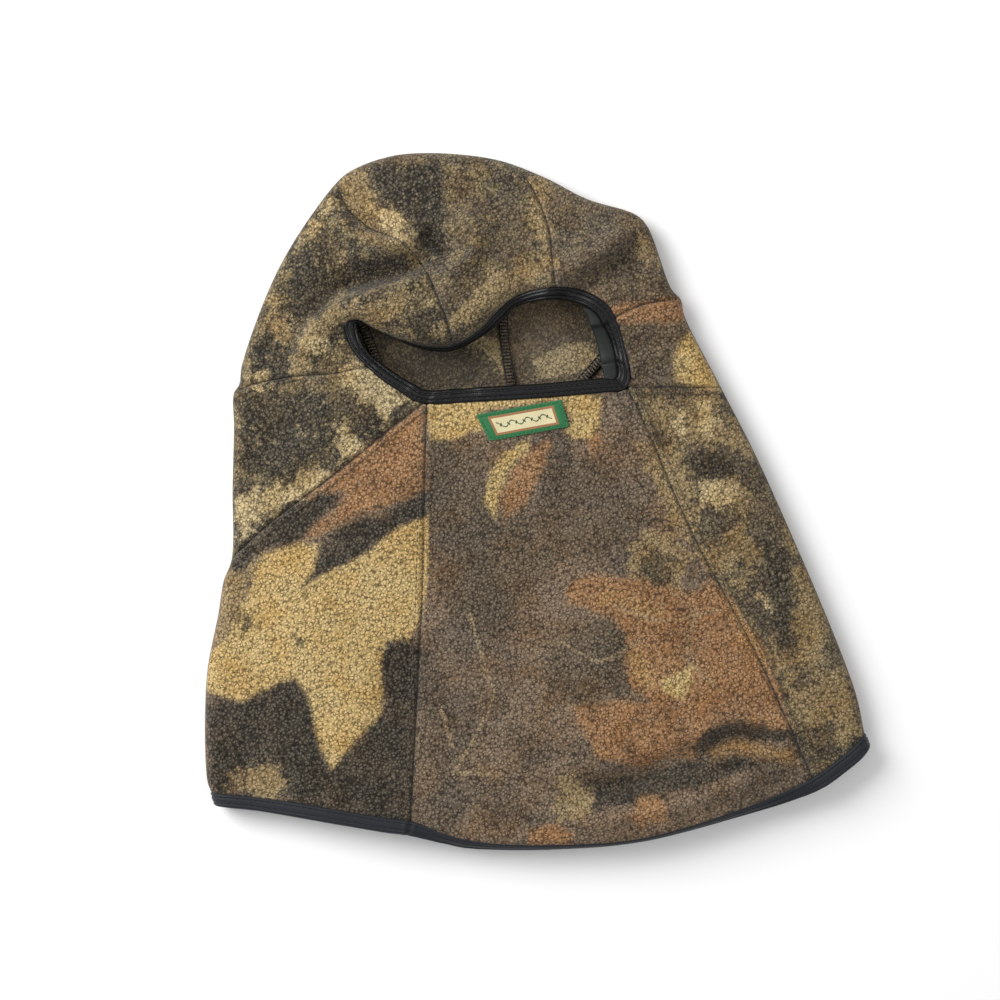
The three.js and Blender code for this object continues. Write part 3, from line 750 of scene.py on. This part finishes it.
def fleece(name, is_inside):
    material, tree = new_material(name)
    place = node(tree, "TexCoord").outputs["Object"]

    def noise(size_mm, detail=3.0, roughness=0.55, distortion=0.0):
        return node(tree, "TexNoise", Vector=place, Scale=1 / (size_mm * MM), Detail=detail,
                    Roughness=roughness, Distortion=distortion).outputs[0]

    def attribute(key):
        return node(tree, "Attribute", {"attribute_name": key}).outputs["Fac"]

    def ramp(value, low, high, start=0.0, end=1.0):
        made = node(tree, "MapRange", {"interpolation_type": "SMOOTHSTEP"}, Value=value)
        for k, bound in enumerate((low, high, start, end), 1):
            made.inputs[k].default_value = bound
        return made.outputs[0]

    def times(*values):
        total = values[0]
        for value in values[1:]:
            total = maths(tree, "MULTIPLY", total, value)
        return total

    def plus(*values):
        total = values[0]
        for value in values[1:]:
            total = maths(tree, "ADD", total, value)
        return total

    # The pile's pebbles, pushed about so that their gaps are crooked, and deeper in some places than others.
    push = node(tree, "TexNoise", Vector=place, Scale=1 / (2.4 * MM), Detail=1.5).outputs["Color"]
    push = node(tree, "VectorMath", {"operation": "SCALE"}, i0=push, Scale=2.1 * MM).outputs[0]
    pushed = node(tree, "VectorMath", {"operation": "ADD"}, i0=place, i1=push).outputs[0]
    cells = node(tree, "TexVoronoi", {"feature": "DISTANCE_TO_EDGE"}, Vector=pushed, Scale=1 / (PEBBLE * MM))
    gap = ramp(cells.outputs["Distance"], 0.0, 0.27, 1.0, 0.0)
    gap = times(gap, ramp(noise(2.0, 1.0), 0.38, 0.62, 0.15, 1.0))
    pebble = maths(tree, "SUBTRACT", 1.0, gap)
    tufts = node(tree, "TexVoronoi", {"feature": "SMOOTH_F1"}, Vector=pushed, Scale=1 / (PEBBLE * MM),
                 Smoothness=0.35)
    tuft = ramp(tufts.outputs["Distance"], 0.12, 0.72, 1.0, 0.0)
    fibre = noise(0.55, 2.0)
    lumps = noise(1.5, 2.0)

    # The plain ground, which is greener under the bark, and the broad mottling of the bark.
    bark = attribute("bark")
    cloud = ramp(noise(34, 3.0, 0.5), 0.36, 0.62)
    colour = mixed(tree, cloud, linear(GROUND_DARK), linear(GROUND))
    colour = mixed(tree, bark, colour, mixed(tree, cloud, linear("#40392c"), linear("#63573f")))
    coarse, middle, fine = noise(15, 7.0, 0.66, 0.6), noise(8, 6.0, 0.68, 0.4), noise(3.2, 3.0, 0.6)
    colour = mixed(tree, times(bark, ramp(coarse, 0.48, 0.59), 0.8), colour, linear("#383127"))
    colour = mixed(tree, times(bark, ramp(middle, 0.49, 0.58), 0.7), colour, linear("#98875f"))

    # Leaves, patches and painted shade in folds. Each edge wavers; the ink is soft and broken up in the
    # pile.
    slow, quick = noise(13, 3.0, 0.55), noise(4.2, 4.0, 0.65)
    waver = maths(tree, "SUBTRACT", plus(times(slow, 2.1), times(quick, 1.9)), 2.0)
    broken = times(maths(tree, "SUBTRACT", lumps, 0.5), 3.0)
    for number, (key, (hue, soft, reach, cover, fade)) in enumerate(INKS.items()):
        edge = plus(attribute(key), times(waver, reach), broken)
        worn = ramp(noise(15 + 2.3 * number, 4.0, 0.6), 0.46, 0.66, 1.0, 1.0 - fade)
        colour = mixed(tree, times(ramp(edge, -soft / 2, soft / 2), cover, worn), colour, linear(hue))

    # The bark's flecks and pits lie over the patches.
    flecks = plus(times(coarse, 0.3), times(fine, 0.7))
    colour = mixed(tree, times(bark, ramp(flecks, 0.54, 0.66), 0.45), colour, linear("#c2b088"))
    pits = plus(times(middle, 0.35), times(noise(4.1, 3.0, 0.6), 0.65))
    colour = mixed(tree, times(bark, ramp(pits, 0.54, 0.64), 0.45), colour, linear("#2b261d"))
    colour = mixed(tree, ramp(noise(21, 3.0, 0.5), 0.35, 0.75), colour, linear("#a89a88"), "SOFT_LIGHT")

    # Gaps are in shade, and the tops of the tufts catch a little light whatever their ink.
    shade = plus(times(pebble, 0.60), times(tuft, 0.26), 0.18)
    shade = plus(shade, times(maths(tree, "SUBTRACT", fibre, 0.5), 0.3))
    grey = node(tree, "CombineColor", Red=shade, Green=shade, Blue=shade).outputs[0]
    colour = mixed(tree, 1.0, colour, grey, "MULTIPLY")
    colour = mixed(tree, times(tuft, pebble, 0.08), colour, linear("#efe2c8"))
    if is_inside:
        # The print only strikes through to the inside, so it is greyer and softer there.
        colour = mixed(tree, 0.25, colour, linear("#6f675a"))
    relief = plus(times(pebble, 0.5), times(tuft, 0.7), times(fibre, 0.25))
    bump = node(tree, "Bump", Height=relief, Strength=0.9, Distance=0.6 * MM).outputs[0]
    finish_material(tree, Base_Color=colour, Roughness=0.95, Normal=bump, Sheen_Weight=0.1,
                    Sheen_Roughness=0.6, Specular_IOR_Level=0.12)
    return material


# Nylon and elastane binding tape, knitted and calendered: near black, with a soft shine along its curve and
# fine ribs across it.
def binding_tape(name, colour, roughness, rib_mm, sheen=0.0):
    material, tree = new_material(name)
    place = node(tree, "TexCoord").outputs["Object"]
    along = node(tree, "Attribute", {"attribute_name": "along"}).outputs["Fac"]
    wave = maths(tree, "SINE", maths(tree, "MULTIPLY", along, 2 * math.pi / rib_mm))
    knit = node(tree, "TexVoronoi", Vector=place, Scale=1 / (0.55 * MM)).outputs["Distance"]
    worn = node(tree, "TexNoise", Vector=place, Scale=1 / (9 * MM), Detail=4.0).outputs[0]
    lighter = [min(1.0, c * 2.1 + 0.002) for c in linear(colour)[:3]] + [1.0]
    shade = mixed(tree, maths(tree, "MULTIPLY", maths(tree, "ADD", maths(tree, "MULTIPLY", knit, 0.5),
                                                    maths(tree, "MULTIPLY", worn, 0.5)), 0.6),
                  linear(colour), lighter)
    relief = maths(tree, "ADD", maths(tree, "MULTIPLY", wave, 0.3), knit)
    bump = node(tree, "Bump", Height=relief, Strength=0.35, Distance=0.25 * MM).outputs[0]
    gloss = node(tree, "MapRange", Value=worn)
    gloss.inputs[3].default_value, gloss.inputs[4].default_value = roughness - 0.06, roughness + 0.1
    finish_material(tree, Base_Color=shade, Roughness=gloss.outputs[0], Normal=bump, Sheen_Weight=sheen,
                    Specular_IOR_Level=0.3)
    return material


# Spun polyester sewing thread: two plies twisted together, with a slight shine.
def thread(name, colour, roughness=0.5):
    material, tree = new_material(name)
    place = node(tree, "TexCoord").outputs["Object"]
    ply = node(tree, "TexNoise", Vector=place, Scale=1 / (0.3 * MM), Detail=2.0).outputs[0]
    darker = [c * 0.55 for c in linear(colour)[:3]] + [1.0]
    bump = node(tree, "Bump", Height=ply, Strength=0.4, Distance=0.15 * MM).outputs[0]
    finish_material(tree, Base_Color=mixed(tree, ply, darker, linear(colour)), Roughness=roughness,
                    Normal=bump, Specular_IOR_Level=0.4)
    return material


# Damask-woven polyester label: fine warp and weft, with a green border, a brown frame and a cream field that
# holds a wavy stem with berries in place of lettering.
def woven_label(name):
    material, tree = new_material(name)
    across = node(tree, "Attribute", {"attribute_name": "across"}).outputs["Fac"]
    upward = node(tree, "Attribute", {"attribute_name": "upward"}).outputs["Fac"]
    from_side = maths(tree, "SUBTRACT", LABEL_SIZE[0] / 2, maths(tree, "ABSOLUTE", across))
    from_top = maths(tree, "SUBTRACT", LABEL_SIZE[1] / 2, maths(tree, "ABSOLUTE", upward))

    def beyond(value, edge):
        made = node(tree, "MapRange", {"interpolation_type": "SMOOTHSTEP"}, Value=value)
        made.inputs[1].default_value, made.inputs[2].default_value = edge - 0.15, edge + 0.15
        return made.outputs[0]

    def field(side, top):
        return maths(tree, "MULTIPLY", beyond(from_side, side), beyond(from_top, top))

    colour = mixed(tree, field(5.2, 2.3), linear("#1f6b3c"), linear("#9a6a45"))
    colour = mixed(tree, field(6.6, 3.6), colour, linear("#d8cda2"))
    # The ornament: a wavy stem with a round berry in every bend.
    turn = maths(tree, "MULTIPLY", across, 2 * math.pi / 9.0)
    stem = maths(tree, "MULTIPLY", maths(tree, "SINE", turn), 1.5)
    stem = maths(tree, "ABSOLUTE", maths(tree, "SUBTRACT", upward, stem))
    stem = maths(tree, "SUBTRACT", 1.0, beyond(stem, 0.35))
    bend = maths(tree, "PINGPONG", maths(tree, "ADD", across, 2.25), 4.5)
    low = maths(tree, "SUBTRACT", bend, 2.25)
    swing = maths(tree, "MULTIPLY", maths(tree, "SIGN", maths(tree, "SINE", turn)), -0.35)
    off = maths(tree, "SUBTRACT", upward, swing)
    berry = maths(tree, "SQRT", maths(tree, "ADD", maths(tree, "MULTIPLY", low, low),
                                      maths(tree, "MULTIPLY", off, off)))
    berry = maths(tree, "SUBTRACT", 1.0, beyond(berry, 0.75))
    ink = maths(tree, "MULTIPLY", maths(tree, "MAXIMUM", stem, berry), field(8.2, 4.2))
    colour = mixed(tree, ink, colour, linear("#2e4a26"))
    warp = maths(tree, "SINE", maths(tree, "MULTIPLY", across, 2 * math.pi / 0.45))
    weft = maths(tree, "SINE", maths(tree, "MULTIPLY", upward, 2 * math.pi / 0.6))
    weave = maths(tree, "MULTIPLY", warp, weft)
    shade = maths(tree, "ADD", maths(tree, "MULTIPLY", weave, 0.1), 0.95)
    grey = node(tree, "CombineColor", Red=shade, Green=shade, Blue=shade).outputs[0]
    bump = node(tree, "Bump", Height=weave, Strength=0.5, Distance=0.12 * MM).outputs[0]
    finish_material(tree, Base_Color=mixed(tree, 1.0, colour, grey, "MULTIPLY"), Roughness=0.75, Normal=bump,
                    Sheen_Weight=0.1)
    return material


FLEECE_FACE = fleece("camouflage_fleece_brushed", False)
FLEECE_INSIDE = fleece("camouflage_fleece_reverse", True)
FACE_TAPE = binding_tape("black_stretch_binding_glossy", "#050506", 0.36, 1.1)
FACE_TAPE_BACK = binding_tape("binding_reverse_dark_grey", "#161918", 0.6, 0.9)
HEM_TAPE = binding_tape("navy_black_hem_binding_knit", "#12151b", 0.6, 0.9, 0.05)
BLACK_THREAD = thread("black_polyester_thread", "#24252a")
FLEECE_THREAD = thread("brown_polyester_thread", "#5c5040", 0.7)
OVERLOCK_THREAD = thread("black_overlock_thread", "#17171a")
GREEN_THREAD = thread("green_polyester_thread", "#2f7a4a")
LABEL_WEAVE = woven_label("woven_label_damask")


# ---------------------------------------------------------------- bindings
def tangents(points):
    """Unit tangents of a line of points in space."""
    tangent = np.gradient(points, axis=0)
    return tangent / np.maximum(np.linalg.norm(tangent, axis=1), 1e-9)[:, None]


def tape(name, edge, width_way, outward, width, profile, material, closed):
    """A tape along an edge. Its section is given as (share of the width, height) points, and turns with the
    edge: width_way runs across the tape and outward out of the fabric."""
    rows, sides = len(edge), len(profile)
    run = run_along(edge)
    points, along = [], []
    for k in range(rows):
        for share, rise in profile:
            points.append(edge[k] + width_way[k] * width * share + outward[k] * rise)
            along.append(run[k])
    faces = []
    for k in range(rows if closed else rows - 1):
        here, there = k * sides, (k + 1) % rows * sides
        for j in range(sides):
            after = (j + 1) % sides
            faces.append([here + j, here + after, there + after, there + j])
    if not closed:
        faces += [list(range(sides))[::-1], list(range((rows - 1) * sides, rows * sides))]
    piece = build_mesh(name, points, faces, [material])
    give_attribute(piece, "along", along)
    turn_outwards(piece)
    return piece


def turn_outwards(piece):
    select_only(piece)
    bpy.ops.object.mode_set(mode="EDIT")
    bpy.ops.mesh.select_all(action="SELECT")
    bpy.ops.mesh.normals_make_consistent(inside=False)
    bpy.ops.object.mode_set(mode="OBJECT")


def tape_profile():
    """Section of a folded tape: three soft swells between two sewn rows, and a flat underside."""
    top = []
    for k in range(21):
        s = k / 20
        swell = 1.45 * math.sin(math.pi * s) ** 0.45 if 0 < s < 1 else 0.0
        sewn = sum(0.75 * math.exp(-((s - row) / 0.055) ** 2) for row in STITCH_ROWS)
        top.append((s, swell - sewn * (swell > 0)))
    low = -(FLEECE + 1.1)
    return top + [(1.03, -0.8), (1.0, low + 0.5), (0.8, low), (0.4, low), (0.06, low + 0.3), (-0.02, -0.9)]


def stitches(name, paths, ups, length, gap, radius, material):
    """Rows of separate stitches, each a short thread that dips into the fabric at its ends."""
    points, faces = [], []
    for path, up in zip(paths, ups):
        run = run_along(path)
        count = int(run[-1] // (length + gap))
        for i in range(count):
            ends = (i + 0.5) * (length + gap) + np.array([-0.5, -0.34, 0.0, 0.34, 0.5]) * length
            centre = np.column_stack([np.interp(ends, run, path[:, k]) for k in range(3)])
            lift = np.column_stack([np.interp(ends, run, up[:, k]) for k in range(3)])
            lift /= np.linalg.norm(lift, axis=1)[:, None]
            way = centre[-1] - centre[0]
            way /= max(np.linalg.norm(way), 1e-9)
            across = np.cross(way, lift)
            centre = centre + lift * (np.array([-0.9, 0.1, 0.45, 0.1, -0.9]) * radius)[:, None]
            start = len(points)
            for k, fat in enumerate((0.45, 0.95, 1.0, 0.95, 0.45)):
                for j in range(6):
                    a = 2 * math.pi * j / 6
                    round_way = across[k] * math.cos(a) + lift[k] * math.sin(a)
                    points.append(centre[k] + round_way * radius * fat)
            for k in range(4):
                for j in range(6):
                    a, b = start + k * 6 + j, start + k * 6 + (j + 1) % 6
                    faces.append([a, b, b + 6, a + 6])
            faces.append([start + j for j in range(5, -1, -1)])
            faces.append([start + 24 + j for j in range(6)])
    piece = build_mesh(name, points, faces, [material])
    turn_outwards(piece)
    return piece


def matched(outer, inner, step, closed):
    """Both edges of a tape with the same number of points, in step with each other."""
    a, b = np.array(outer, float), np.array(inner, float)
    both = in_step(np.hstack([a, b]), step, closed)
    return both[:, :2], both[:, 2:]


def in_step(pairs, step, closed):
    """A curve through the pairs, which keeps the two edges in step."""
    count = len(pairs)
    p = np.vstack([pairs[-1], pairs, pairs[:2]]) if closed else np.vstack([pairs[0], pairs, pairs[-1]])
    out = []
    for i in range(1, count + (1 if closed else 0)):
        p0, p1, p2, p3 = p[i - 1:i + 3]
        t = np.linspace(0, 1, max(3, int(np.linalg.norm(p2[:2] - p1[:2]) / step)), endpoint=False)[:, None]
        out.append(0.5 * (2 * p1 + (p2 - p0) * t + (2 * p0 - 5 * p1 + 4 * p2 - p3) * t ** 2
                          + (3 * p1 - p0 - 3 * p2 + p3) * t ** 3))
    if not closed:
        out.append(pairs[-1:])
    return np.vstack(out)


def binding_frame(plan_way):
    """Turns a tape's width from its plan: what the plan is short of, the tape drops out of sight."""
    short = np.clip(np.linalg.norm(plan_way, axis=1), 0.5, TAPE_WIDTH)
    flat = plan_way / np.maximum(np.linalg.norm(plan_way, axis=1), 1e-9)[:, None]
    drop = np.sqrt(np.maximum(TAPE_WIDTH ** 2 - short ** 2, 0))
    width_way = np.column_stack([flat * (short / TAPE_WIDTH)[:, None], -drop / TAPE_WIDTH])
    outward = np.column_stack([flat * (drop / TAPE_WIDTH)[:, None], short / TAPE_WIDTH])
    return width_way, outward


def face_binding():
    outer, inner = matched(BINDING_OUTER, BINDING_INNER, 1.3, True)
    z = height(outer, FRONT) + 0.2
    for _ in range(6):
        z = (np.roll(z, 1) + 2 * z + np.roll(z, -1)) / 4
    edge = np.column_stack([outer, z])
    width_way, outward = binding_frame(inner - outer)
    pieces = [tape("face_binding_tape", edge, width_way, outward, TAPE_WIDTH, tape_profile(), FACE_TAPE,
                   True)]
    for number, share in enumerate(STITCH_ROWS, 1):
        row = edge + width_way * TAPE_WIDTH * share + outward * 0.78
        row, up = np.vstack([row, row[:1]]), np.vstack([outward, outward[:1]])
        name = f"face_binding_stitches_{number}"
        pieces.append(stitches(name, [row], [up], 2.3, 0.7, 0.26, BLACK_THREAD))
    # The tape's reverse, which the right side of the opening turns up to view.
    seen = np.where((inner[:, 0] > 40) & (outer[:, 1] > 250) & (outer[:, 1] < 306))[0]
    rim = edge[seen] + width_way[seen] * TAPE_WIDTH * 0.97 + outward[seen] * -1.2
    inward = np.tile([-1.0, 0.05, 0.0], (len(seen), 1))
    taper = np.sin(np.linspace(0.25, math.pi - 0.2, len(seen))) ** 0.6
    inward *= taper[:, None]
    up = np.tile([0.0, 0.0, 1.0], (len(seen), 1))
    reverse = [(0, 0), (0.25, 0.35), (0.6, 0.3), (0.9, -0.1), (1.0, -0.6), (0.9, -1.1), (0.5, -0.9),
               (0, -1.0)]
    pieces.append(tape("face_binding_reverse", rim, inward, up, 9.5, reverse, FACE_TAPE_BACK, False))
    return pieces


def hem_binding():
    top, bottom = matched(FRONT_HEM, HEM_BOTTOM, 2.0, False)
    front = np.column_stack([top, height(top, FRONT)])
    front_way, front_out = binding_frame(bottom - top)
    back_line = hem_lines[BACK][::-1]
    back = np.column_stack([back_line, height(back_line, BACK)])
    back_way = np.tile([0.05, -1.0, 0.0], (len(back), 1))
    back_out = np.tile([0.0, 0.0, -1.0], (len(back), 1))
    edge = np.vstack([front, back[1:-1]])
    way = np.vstack([front_way, back_way[1:-1]])
    out = np.vstack([front_out, back_out[1:-1]])
    for _ in range(5):
        way = (np.roll(way, 1, 0) + way + np.roll(way, -1, 0)) / 3
    way /= np.linalg.norm(way, axis=1)[:, None]
    tangent = np.roll(edge, -1, 0) - np.roll(edge, 1, 0)
    tangent /= np.maximum(np.linalg.norm(tangent, axis=1), 1e-9)[:, None]
    normal = np.cross(way, tangent)
    normal *= np.sign((normal * out).sum(1) + 1e-9)[:, None]
    for _ in range(3):
        normal = (np.roll(normal, 1, 0) + normal + np.roll(normal, -1, 0)) / 3
    normal -= way * (normal * way).sum(1)[:, None]
    normal /= np.linalg.norm(normal, axis=1)[:, None]
    profile = [(s, min(r, 1.1)) for s, r in tape_profile()]
    piece = tape("hem_binding_tape", edge, way, normal, TAPE_WIDTH, profile, HEM_TAPE, True)
    count = len(front)
    rows = [(edge + way * TAPE_WIDTH * share + normal * 0.55)[2:count - 2] for share in STITCH_ROWS]
    ups = [normal[2:count - 2]] * 2
    return piece, stitches("hem_binding_stitches", rows, ups, 2.6, 0.9, 0.26, BLACK_THREAD)


# ---------------------------------------------------------------- seams
def inner_path(name):
    """A seam's run on the inside of the fleece, as lines with the direction into the hood."""
    runs = []
    for side in (FRONT, BACK):
        line = seam_lines[side].get(name)
        if line is None:
            continue
        if side == FRONT:
            line = line[to_line(line, binding_outer)[0] > 1.0]
            line = line[~inside(line, binding_outer[:-1])]
        clear = (to_line(line, hem_lines[side])[0] > 9) & (to_line(line, fold_line)[0] > 1.2)
        line = line[clear & inside(line, laid_outline(side))]
        if len(line) > 4:
            points, normal = on_surface(line, side, -(FLEECE + 0.25))
            runs.append((points, -normal))
    return runs


def overlock(name, seams):
    """The turned seam allowance with its overlocking: two rows of thread, and bars from one to the other."""
    points, faces = [], []
    half, thick = SEAM_HALF_WIDTH, SEAM_THICKNESS
    section = [(-half, 0.0), (-half * 0.75, thick * 0.8), (0, thick), (half * 0.75, thick * 0.8),
               (half, 0.0), (0, -0.2)]
    bars, bar_ups, rails, rail_ups = [], [], [], []
    for seam in seams:
        for path, into in inner_path(seam):
            tangent = tangents(path)
            across = np.cross(into, tangent)
            across /= np.linalg.norm(across, axis=1)[:, None]
            start = len(points)
            for k in range(len(path)):
                points += [path[k] + across[k] * w + into[k] * h for w, h in section]
            n = len(section)
            for k in range(len(path) - 1):
                for j in range(n):
                    a, b = start + k * n + j, start + k * n + (j + 1) % n
                    faces.append([a, b, b + n, a + n])
            end = start + (len(path) - 1) * n
            faces += [list(range(start, start + n))[::-1], list(range(end, end + n))]
            run = run_along(path)
            for s in np.arange(1.0, run[-1] - 1.0, 1.9):
                centre = np.array([np.interp(s, run, path[:, k]) for k in range(3)])
                k = int(np.clip(np.searchsorted(run, s), 0, len(path) - 1))
                reach = np.array([-1.05, -0.75, 0, 0.75, 1.05])[:, None] * half
                lift = np.array([0.0, thick * 0.8, thick + 0.1, thick * 0.8, 0.0])[:, None]
                slant = np.array([-0.35, -0.2, 0, 0.2, 0.35])[:, None]
                bars.append(centre + across[k] * reach + into[k] * (lift + 0.15) + tangent[k] * slant)
                bar_ups.append(np.tile(into[k], (5, 1)))
            for w in (-half * 0.8, half * 0.8):
                rails.append(path + across * w + into * (thick * 0.8 + 0.1))
                rail_ups.append(into)
    body = build_mesh(name + "_allowance", points, faces, [FLEECE_INSIDE])
    for key in (*INKS, "bark"):
        give_attribute(body, key, [0.3 if key == "bark" else -20.0] * len(points))
    turn_outwards(body)
    rungs = stitches(name + "_bars", bars, bar_ups, 5.6, 0.1, 0.42, OVERLOCK_THREAD)
    sides = stitches(name + "_rows", rails, rail_ups, 2.6, 0.2, 0.36, OVERLOCK_THREAD)
    return [body, rungs, sides]


def topstitching(name, seam, offset):
    line = seam_lines[FRONT][seam]
    row = rings(line, [offset])[0]
    keep = (to_line(row, binding_outer)[0] > 2) & ~inside(row, binding_outer[:-1])
    keep &= (to_line(row, hem_lines[FRONT])[0] > 1.5) & (to_line(row, fold_line)[0] > 0.8)
    keep &= inside(row, laid_outline(FRONT))
    path, up = on_surface(row[keep], FRONT, 0.12)
    return stitches(name, [path], [up], 2.9, 0.8, 0.24, FLEECE_THREAD)


# ---------------------------------------------------------------- label
def label():
    """The woven patch, slightly puffed within its stitching."""
    columns, rows = 64, 22
    top_left, top_right, low_right, low_left = (np.array(c) for c in LABEL_CORNERS)
    plan, across, upward = [], [], []
    for j in range(rows + 1):
        for i in range(columns + 1):
            u, v = i / columns, j / rows
            low, high = low_left + (low_right - low_left) * u, top_left + (top_right - top_left) * u
            plan.append(low + (high - low) * v)
            across.append((u - 0.5) * LABEL_SIZE[0])
            upward.append((v - 0.5) * LABEL_SIZE[1])
    plan = np.array(plan)
    edge = np.minimum(LABEL_SIZE[0] / 2 - np.abs(across), LABEL_SIZE[1] / 2 - np.abs(upward))
    points, normal = on_surface(plan, FRONT, 0.0)
    puff = 0.75 + 0.35 * waves(plan, 41, 14) * smoothstep(edge, 0, 4)
    puff -= 0.35 * np.exp(-((edge - 1.3) / 0.6) ** 2)
    points = points + normal * puff[:, None]
    faces = []
    for j in range(rows):
        for i in range(columns):
            a = j * (columns + 1) + i
            faces.append([a, a + 1, a + columns + 2, a + columns + 1])
    piece = build_mesh("woven_label", points, faces, [LABEL_WEAVE])
    give_attribute(piece, "across", across)
    give_attribute(piece, "upward", upward)
    thickness = piece.modifiers.new("thickness", "SOLIDIFY")
    thickness.thickness = 0.55 * MM
    thickness.offset = -1
    apply_modifiers(piece)
    return piece


def label_stitching():
    """Stitches all round the label, just inside its edges."""
    centre = np.mean(LABEL_CORNERS, axis=0)
    shrink = 1 - 2 * LABEL_MARGIN / np.array(LABEL_SIZE)
    corners = [centre + (np.array(corner) - centre) * shrink for corner in LABEL_CORNERS]
    sides = [on_surface(even(np.array([a, b]), 0.8), FRONT, 0.62)
             for a, b in zip(corners, corners[1:] + corners[:1])]
    paths, ups = zip(*sides)
    return stitches("woven_label_stitches", paths, ups, 1.9, 0.5, 0.24, GREEN_THREAD)


# ---------------------------------------------------------------- assembling
def own(piece, slot, *nodes):
    """The piece rides on the hood and stands for CAD nodes. Its slot is not used."""
    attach(piece, "root")
    if nodes:
        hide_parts(*nodes)


panels = fleece_panels([FLEECE_FACE, FLEECE_INSIDE])
for name, piece in panels.items():
    own(piece, "camouflage_fleece", name)

binding, stitches_1, stitches_2, binding_reverse = face_binding()
own(binding, "black_stretch_binding", "face_binding")
own(binding_reverse, "black_stretch_binding")
own(stitches_1, "dark_thread", "face_binding_stitching_1")
own(stitches_2, "dark_thread", "face_binding_stitching_2")

hem, hem_stitches = hem_binding()
own(hem, "navy_black_hem_binding", "hem_binding")
own(hem_stitches, "dark_thread", "hem_binding_stitching")

OVERLOCKS = {
    "crown_base": ["base", "base_left", "base_right"],
    "yoke": ["yoke", "yoke_left", "yoke_right"],
    **{seam: [seam] for seam in ("strip_left", "strip_right", "centre_back_skirt", "centre_back_neck",
                                 "bib_left", "bib_right")},
}
trims = [binding, binding_reverse, stitches_1, stitches_2, hem, hem_stitches]
for name, seams in OVERLOCKS.items():
    body, *threads = overlock(name + "_seam", seams)
    own(body, "camouflage_fleece", name + "_overlock")
    for piece in threads:
        own(piece, "overlock_thread")
    trims += [body, *threads]

# How far each row of topstitching lies to the left of its seam.
TOPSTITCHING = {"yoke_left": -3.6, "yoke_right": 3.6, "bib_left": 3.6, "bib_right": -3.6}
for name, offset in TOPSTITCHING.items():
    piece = topstitching(name + "_stitches", name, offset)
    own(piece, "dark_thread", name + "_topstitching")
    trims.append(piece)

label_piece, label_sewn = label(), label_stitching()
own(label_piece, "woven_label", "label_patch")
own(label_sewn, "green_label_thread", "label_stitching")
trims += [label_piece, label_sewn]


# ---------------------------------------------------------------- stage, light and camera
FLOOR_SIZE, FLOOR_HEIGHT = 8, -0.0002  # metres
SKY_STRENGTH = 0.5
# Name, place in metres, width in metres and power in watts of each soft lamp.
LAMPS = [("key", (-1.0, 0.95, 1.05), 1.2, 40), ("fill", (1.2, -0.6, 1.6), 1.6, 8)]


def stage():
    bpy.ops.mesh.primitive_plane_add(size=FLOOR_SIZE, location=(0, 0, FLOOR_HEIGHT))
    floor = bpy.context.active_object
    floor.name = "studio_floor"
    material, tree = new_material("studio_floor_white_paper")
    finish_material(tree, Base_Color=linear("#f4f4f4"), Roughness=0.9, Specular_IOR_Level=0.1)
    floor.data.materials.append(material)
    world = bpy.data.worlds.new("studio")
    bpy.context.scene.world = world
    world.use_nodes = True
    sky = world.node_tree.nodes["Background"]
    sky.inputs["Color"].default_value = linear("#ffffff")
    sky.inputs["Strength"].default_value = SKY_STRENGTH
    for name, place, size, power in LAMPS:
        lamp = bpy.data.lights.new(name, "AREA")
        lamp.size = size
        lamp.energy = power
        light = bpy.data.objects.new(name, lamp)
        light.location = place
        light.rotation_euler = (Vector((0, 0, 0)) - Vector(place)).to_track_quat("-Z", "Y").to_euler()
        bpy.context.scene.collection.objects.link(light)


LENS, SENSOR = 100.0, 36.0  # millimetres
VIEW_WIDTH = 570.0  # millimetres across the view at the height of the hood's front
VIEW_HEIGHT = 18.0  # that height
VIEW_CENTRE = (-26.4, 204.3)  # in the pattern's frame
ROLL = -12.0  # degrees


def camera():
    data = bpy.data.cameras.new("camera")
    data.lens, data.sensor_width = LENS, SENSOR
    eye = bpy.data.objects.new("camera", data)
    lift = VIEW_WIDTH * LENS / SENSOR + VIEW_HEIGHT
    eye.location = ((VIEW_CENTRE[0] + SHIFT[0]) * MM, (VIEW_CENTRE[1] + SHIFT[1]) * MM, lift * MM)
    eye.rotation_euler = (0, 0, math.radians(ROLL))
    bpy.context.scene.collection.objects.link(eye)
    bpy.context.scene.camera = eye
    bpy.context.scene.view_settings.view_transform = "Standard"


stage()
camera()
